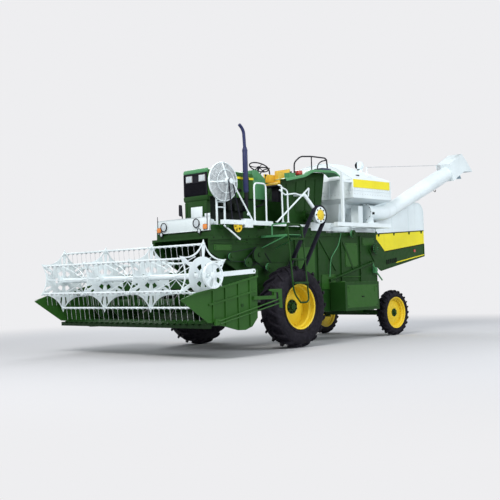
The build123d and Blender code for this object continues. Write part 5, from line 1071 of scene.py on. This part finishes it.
def build_flanks():
    """Pressings, bolt rows and thin pipes along the flanks, and the door and latch of the side box."""
    trim, heads, dark = Piece(), Piece(), Piece()
    for y0, y1, z0, z1 in ((-1.5, -1.05, 1.82, 1.93), (-0.95, -0.62, 1.99, 2.0), (0.78, 1.3, 1.35, 1.9),
                           (1.5, 1.95, 1.05, 1.35), (2.3, 2.72, 1.5, 2.0), (2.9, 3.33, 1.95, 2.12)):
        trim.box((BODY_SIDE, BODY_SIDE + 0.015), (y0, y1), (z0, z1))
        corners = [(y, z) for y in (y0 + 0.03, y1 - 0.03) for z in (z0 + 0.03, z1 - 0.03)]
        heads.bolts([(BODY_SIDE + 0.016, y, z) for y, z in corners], 0.009, 0.005)
    heads.bolts([(0.805, y, 2.055 + 0.036 * (y + 1.6)) for y in steps_of(22, -1.52, 0.225)], 0.011, 0.005)
    for y, low in ((0.7, 0.88), (1.4, 0.7), (2.16, 0.62), (2.81, 0.62)):
        heads.bolts([(0.805, y, z) for z in steps_of(6, low + 0.08, 0.22)], 0.009, 0.004)
    for z, y0, y1 in ((1.28, 1.75, 2.8), (0.95, 0.9, 1.3)):
        trim.box((BODY_SIDE, BODY_SIDE + 0.02), (y0, y1), (z, z + 0.02))
    trim.mirror().make("flank_pressings", "green_bright", bevel=0.004)
    heads.mirror().make("flank_bolts", "iron")
    pipe = Piece().tube([(0.85, 2.09, 2.2), (0.85, 2.0, 1.95), (0.82, 1.77, 1.68), (0.82, 1.72, 1.3)],
                        0.011, 10, 0.08)
    pipe.tube([(0.83, 3.18, 1.585), (0.83, 3.27, 1.42), (0.83, 3.52, 1.2)], 0.016, 10, 0.03)
    pipe.strip((0.85, 0.36, 1.42), (0.85, 0.62, 1.78), 0.05, 0.012)
    pipe.box((0.80, 0.87), (3.22, 3.3), (1.36, 1.48)).disc((0.86, 3.26, 1.42), 0.035, 0.03, "X", 20, 0.004)
    pipe.make("flank_pipes", "green_painted_highlight", bevel=0.002)
    door = Piece().box((1.186, 1.192), (1.80, 2.83), (0.66, 1.12))
    door.box((0.82, 1.18), (1.76, 2.87), (1.178, 1.184))
    for y in (1.86, 2.72):
        door.box((1.19, 1.2), (y, y + 0.04), (0.98, 1.08))
    door.disc((1.0, 1.9, 1.19), 0.06, 0.014, "Z", 28, 0.004)
    door.make("side_box_door", "green_bright", bevel=0.004)
    dark.box((1.19, 1.205), (2.28, 2.36), (0.87, 0.89))
    dark.bolts([(1.195, y, z) for y in (1.83, 2.8) for z in (0.7, 1.08)], 0.01, 0.006)
    dark.make("side_box_latch", "iron", bevel=0.002)


# Grain tank, hood and unloading auger

def build_tank_details():
    """Blank label, seams and rivets of the tank, and the vent, window and handle of its roof."""
    label = Piece()
    label.box((TANK_X + 0.0005, TANK_X + 0.009), (TANK_FRONT + 0.02, TANK_REAR - 0.06), (3.115, 3.285))
    label.make("tank_label", "yellow", bevel=0.002)
    trim, rivets, dark = Piece(), Piece(), Piece()
    for s in (-1, 1):
        x = s * (TANK_X + 0.004)
        trim.box((x - 0.006, x + 0.004), (TANK_FRONT + 0.01, TANK_REAR - 0.01), (3.278, 3.292))
        for y in steps_of(15, TANK_FRONT + 0.06, 0.0875):
            rivets.bolts([(s * (TANK_X + 0.002), y, z) for z in (2.985, 3.085)], 0.007, 0.005, "X", 10)
        for y, top_y in ((TANK_FRONT, 2.40), (TANK_REAR, 2.98)):
            trim.tube([(s * 1.235, y, 3.296), (s * 0.35, top_y, 3.7)], 0.008, 8)
    for x in steps_of(25, -1.17, 0.0975):
        rivets.bolts([(x, y, 2.985) for y in (TANK_FRONT - 0.003, TANK_REAR + 0.003)], 0.007, 0.005, "Y", 10)
    for y in (TANK_FRONT, TANK_REAR):
        trim.box((-TANK_X, TANK_X), span(y, 0.004), (3.278, 3.294))
    for x in (-0.62, 0, 0.62):
        for pair in ((TANK_FRONT - 0.012, TANK_FRONT + 0.002), (TANK_REAR - 0.002, TANK_REAR + 0.012)):
            trim.box(span(x, 0.012), pair, (2.93, 3.28))
    trim.make("tank_seams", "white", bevel=0.001)
    rivets.make("tank_rivets", "wire")
    x, y = 0.62, 3.12
    vent = Piece().spindle([(3.55, 0.06), (3.66, 0.06)], (x, y, 0), "Z", 28)
    vent.lathe([(-0.07, 0), (-0.07, 0.088), (0.02, 0.092), (0.06, 0.07), (0.07, 0)], (x, y, 3.70), "Y", 36,
               closed=False)
    vent.tube([(SWING_X, SWING_Y, 3.395), (SWING_X, SWING_Y, 3.60)], 0.016, 12).make("roof_vent", "white")
    # A black half disc fills the vent cowl's mouth as painted shade inside it, with a black strip under it
    # as its painted shadow on the stalk; the two other black boxes are small dark marks on the roof and on
    # the tank's front.
    dark.prism([(x - 0.078 * math.cos(a), 3.70 + 0.078 * math.sin(a))
                for a in (math.radians(degrees) for degrees in range(-75, 76, 10))], 3.044, 3.052, "Y")
    dark.box((0.6, 0.66), (3.045, 3.052), (3.60, 3.62))
    dark.box((0.9, 1.02), (2.5, 2.56), (3.405, 3.425)).box((-0.04, 0.04), (2.0, 2.03), (3.2, 3.24))
    dark.make("roof_vent_shade_and_marks", "black")
    lid = Piece().box((-0.305, 0.305), (2.45, 2.935), (3.7245, 3.732))
    handle = ((-0.08, 3.722), (-0.08, 3.75), (0.08, 3.75), (0.08, 3.722))
    lid.tube([(x, 2.49, z) for x, z in handle], 0.008, 10, 0.02)
    lid.make("hatch_lid_panel", "white", "hatch", bevel=0.003)


def build_unloading_auger():
    """Drum with bolted flange, smooth elbow, banded tube and the box spout, with its stay and hook."""
    run = Vector((0, TUBE_END_Y - ELBOW_Y, TUBE_END_Z - DRUM_Z)).normalized()
    up = Vector((0, -run.z, run.y))
    x, y, z = SWING_X, SWING_Y, DRUM_Z
    start, end = Vector((x, ELBOW_Y, z)), Vector((x, TUBE_END_Y, TUBE_END_Z))
    turn = Matrix((Vector((1, 0, 0)), run, up)).transposed().to_4x4()
    tube = Piece().tube([(x, y - 0.11, z), start, start + run * 0.6], TUBE_R, 48, 0.16)
    tube.spindle([(2.451, 0.118), (2.466, 0.118), (2.47, 0.108), (z, 0.108)], (x, y, 0), "Z", 40)
    tube.ring((x, y - 0.11, z), 0.182, 0.04, 0.014, "Y", 48)
    tube.disc((x, y - 0.118, z), 0.15, 0.006, "Y", 48, 0.002)
    cone = Piece().spindle([(0.55, TUBE_R), (2.2, SPOUT_R), (2.78, SPOUT_R)], (0, 0, 0), "Y", 48)
    for along, r in ((0.3, TUBE_R), (1.3, TUBE_R + 0.011)):
        cone.ring((0, along, 0), r + 0.004, 0.008, 0.02, "Y", 48)
    tube.add([start + turn @ v for v in cone.verts], cone.faces)
    top = [(-0.05, 0.235), (0.57, 0.285), (0.70, 0.07), (0.86, -0.256)]
    spout = Piece().prism([(-0.05, -0.185), *top, (0.90, -0.42), (0.52, -0.31)], -0.19, -0.182)
    spout.prism([(-0.05, -0.185), *top, (0.50, -0.14)], 0.182, 0.19)
    spout.prism(top + [(a - 0.008, b - 0.006) for a, b in reversed(top)], -0.182, 0.182)
    spout.prism([(-0.058, -0.185), (-0.058, 0.235), (-0.05, 0.235), (-0.05, -0.185)], -0.19, 0.19)
    spout.prism([(-0.05, -0.185), (0.1, -0.185), (0.1, -0.177), (-0.05, -0.177)], -0.19, 0.19)
    # A blue-grey sheet on the inside of the spout's far wall, seen through the cut-away near wall: painted
    # shade inside the spout.
    inner_shade = Piece().prism([(-0.04, -0.175), (-0.04, 0.22), (0.56, 0.27), (0.69, 0.065), (0.85, -0.256),
                            (0.888, -0.41), (0.52, -0.302)], -0.182, -0.172)
    inner_shade.moved(Matrix.Translation(end) @ turn).make("spout_inside_shade", "spout_shade_grey", "unloading_auger")
    tube.add([end + turn @ v for v in spout.verts], spout.faces)
    tube.make("auger_pipe", "white", "unloading_auger", replaces="auger_tube", bevel=0.002, angle=40)
    heads = Piece().bolts([around((x, y - 0.127, z), 0.168, a, "Y") for a in turns(10)], 0.01, 0.006, "Y")
    hook = start + run * 2.1 - up * SPOUT_R
    heads.tube([hook + up * a + run * b for a, b in ((0.02, 0), (-0.05, 0), (-0.07, 0.05), (-0.03, 0.08))],
               0.008, 8, 0.02)
    # A dark block on the tube's side behind the flange: painted shadow in the gap by the flange.
    heads.box((x + 0.144, x + 0.157), (2.79, 2.87), (2.59, 2.64))
    heads.make("auger_bolts_and_flange_shadow", "iron", "unloading_auger", bevel=0.001)
    anchor = end + up * (SPOUT_R + 0.05) - run * 0.25
    stay = Piece().rod((x, y, 3.605), anchor + Vector((0, 0, 0.05)), 0.006, 8)
    stay.box(span(x, 0.025), span(anchor.y, 0.04), (anchor.z - 0.1, anchor.z + 0.06))
    stay.make("auger_stay", "wire", "unloading_auger")


def build_hood_details():
    """Hinges and seams along the band, the yellow line, slots of the skirt, edges and lamps of the hood."""
    trim, line, dark, edges, lamps = Piece(), Piece(), Piece(), Piece(), Piece()
    back = HOOD_REAR - 0.005
    for s in (-1, 1):
        x = s * (HOOD_X + 0.004)
        dark.strip((x, BODY_REAR + 0.01, 2.212), (x, back, 2.322), 0.02, 0.008)
        dark.strip((x, 3.745, 1.828), (x, back, 2.012), 0.018, 0.008)
        line.strip((x, 4.15, 1.585), (x, back, 1.765), 0.022, 0.008)
        trim.strip((x, 3.56, 1.408), (x, back, 1.733), 0.02, 0.012)
        trim.strip((x, HOOD_REAR - 0.012, 1.735), (x, HOOD_REAR - 0.012, 2.01), 0.02, 0.012)
        for y in (3.52, 4.1, 4.7, 5.2):
            z = 2.2 + 0.0585 * (y - 3.42)
            trim.rod((x + s * 0.004, y - 0.03, z), (x + s * 0.004, y + 0.03, z), 0.009, 10)
            trim.box(span(x, 0.004), span(y, 0.025), (z - 0.05, z))
        # Dark patches stand for the skirt's slots: painted shade inside them.
        for y in steps_of(6, 3.80, 0.07):
            dark.box(span(x, 0.004), span(y, 0.022), span(1.595 + 0.13 * (y - 3.8), 0.05))
        rear = [(HOOD_REAR, 2.32), (HOOD_REAR, 2.72)]
        rear += [(p.y, p.z) for p in (around((0, HOOD_REAR - 0.24, 2.72), 0.24, math.radians(a))
                                      for a in steps_of(9, 0, 11.25))]
        edges.tube([(s * HOOD_X, y, z) for y, z in rear + [(3.43, 2.96)]], 0.009, 8)
        for y in (4.05, 4.7):
            edges.box(span(s * HOOD_X, 0.005), span(y, 0.012), (2.3, 2.95))
        lamps.box(span(s * (HOOD_X + 0.008), 0.01), (4.86, 4.93), (1.82, 1.88))
        lamps.box(span(s * 0.66, 0.05), (HOOD_REAR - 0.01, HOOD_REAR + 0.015), (2.36, 2.48))
    for y in (3.43, 4.05, 4.7):
        edges.box((-HOOD_X, HOOD_X), span(y, 0.012), (2.955, 2.966))
    trim.make("hood_hinges", "green", bevel=0.002)
    line.make("hood_line", "yellow", bevel=0.002)
    dark.make("hood_seams_and_slot_shade", "iron", bevel=0.001)
    edges.make("hood_edges", "white", bevel=0.002)
    lamps.make("rear_lamps", "red", slot="rim_paint", bevel=0.006)


# Stage, light and camera

class Graph:
    """A node tree emptied for nodes of its own."""

    def __init__(self, owner):
        owner.use_nodes = True
        self.tree = owner.node_tree
        self.tree.nodes.clear()

    def node(self, kind, **settings):
        node = self.tree.nodes.new(kind)
        for name, value in settings.items():
            setattr(node, name, value)
        return node

    def value(self, kind, **inputs):
        """A node with some of its sockets set."""
        node = self.node(kind)
        for name, value in inputs.items():
            node.inputs[name].default_value = value
        return node

    def link(self, source, node, socket):
        self.tree.links.new(source, node.inputs[socket])

    def seen_directly(self):
        """A socket that is 1 for rays from the camera, off bright surfaces or through glass."""
        path = self.node("ShaderNodeLightPath")
        total = path.outputs["Is Camera Ray"]
        for name in ("Is Glossy Ray", "Is Transmission Ray"):
            node = self.node("ShaderNodeMath", operation="MAXIMUM")
            self.link(total, node, 0)
            self.link(path.outputs[name], node, 1)
            total = node.outputs[0]
        return total

    def blend(self, fac, first, second, output):
        """Mixes two shaders into the output node's surface."""
        mix, out = self.node("ShaderNodeMixShader"), self.node(output)
        for socket, source in ((0, fac), (1, first.outputs[0]), (2, second.outputs[0])):
            self.link(source, mix, socket)
        self.link(mix.outputs[0], out, "Surface")


def build_stage():
    """The world, and a pale floor that fades into the world's colour away from the machine."""
    pale = srgb(238, 238, 240)
    world = bpy.data.worlds.new("pale_world")
    bpy.context.scene.world = world
    graph = Graph(world)
    light = graph.value("ShaderNodeBackground", Color=(0.93, 0.97, 1.0, 1), Strength=0.62)
    graph.blend(graph.seen_directly(), light, graph.value("ShaderNodeBackground", Color=pale),
                "ShaderNodeOutputWorld")

    material = bpy.data.materials.new("pale_floor")
    graph = Graph(material)
    length = graph.node("ShaderNodeVectorMath", operation="LENGTH")
    graph.link(graph.node("ShaderNodeNewGeometry").outputs["Position"], length, 0)
    fade = graph.node("ShaderNodeMapRange", interpolation_type="SMOOTHSTEP")
    fade.inputs["From Min"].default_value = 6.5
    fade.inputs["From Max"].default_value = 13.0
    graph.link(length.outputs["Value"], fade, "Value")
    both = graph.node("ShaderNodeMath", operation="MULTIPLY")
    graph.link(fade.outputs["Result"], both, 0)
    graph.link(graph.seen_directly(), both, 1)
    graph.blend(both.outputs[0], graph.value("ShaderNodeBsdfDiffuse", Color=srgb(196, 196, 199)),
                graph.value("ShaderNodeEmission", Color=pale), "ShaderNodeOutputMaterial")
    floor = Piece().disc((0, 0, -0.012), 60, 0.01, "Z", 64).to_object("floor")
    floor.data.materials.append(material)


def lamp(name, place, target, size, power, colour):
    """A round area lamp aimed at a point."""
    data = bpy.data.lights.new(name, "AREA")
    data.shape, data.size, data.energy, data.color = "DISK", size, power, colour
    obj = bpy.data.objects.new(name, data)
    bpy.context.scene.collection.objects.link(obj)
    obj.location = place
    obj.rotation_euler = (Vector(target) - Vector(place)).to_track_quat("-Z", "Y").to_euler()


def build_lights():
    lamp("key", (4.5, -15.0, 13.0), (0, 0, 1.6), 7.0, 2200, (1.0, 0.99, 0.97))
    lamp("fill", (12.0, 1.0, 7.0), (0, 0, 1.8), 8.0, 740, (0.93, 0.97, 1.0))
    lamp("back", (-9.0, 6.0, 9.0), (0, 0, 2.0), 7.0, 800, (0.95, 0.98, 1.0))


def build_camera():
    """The photograph's camera, from the fit to the machine's straight edges and wheels."""
    heading, pitch, roll = math.radians(43.842), math.radians(2.025), math.radians(-1.618)
    level = math.cos(pitch)
    ahead = Vector((-math.sin(heading) * level, math.cos(heading) * level, math.sin(pitch)))
    right = Vector((math.cos(heading), math.sin(heading), 0))
    up = right.cross(ahead)
    across = right * math.cos(roll) + up * math.sin(roll)
    above = up * math.cos(roll) - right * math.sin(roll)
    data = bpy.data.cameras.new("camera")
    data.lens, data.sensor_width, data.clip_end = 64.81, 36, 300
    camera = bpy.data.objects.new("camera", data)
    bpy.context.scene.collection.objects.link(camera)
    turn = Matrix((across, above, -ahead)).transposed().to_4x4()
    camera.matrix_world = Matrix.Translation((12.384, -12.651 + DY, 1.243)) @ turn
    bpy.context.scene.camera = camera


dress_nodes()
for build in (build_wheels, build_reel, build_bats, build_feed_auger, build_bonnet, build_nose, build_engine,
              build_exhaust, build_dashboard, build_controls, build_seat, build_fenders, build_fender_rails,
              build_lamp_board, build_dust_screen, build_screen_stand, build_rails, build_ladder,
              build_drives, build_flanks, build_tank_details, build_unloading_auger, build_hood_details,
              build_stage, build_lights, build_camera):
    build()
bpy.context.scene.view_settings.view_transform = "Standard"
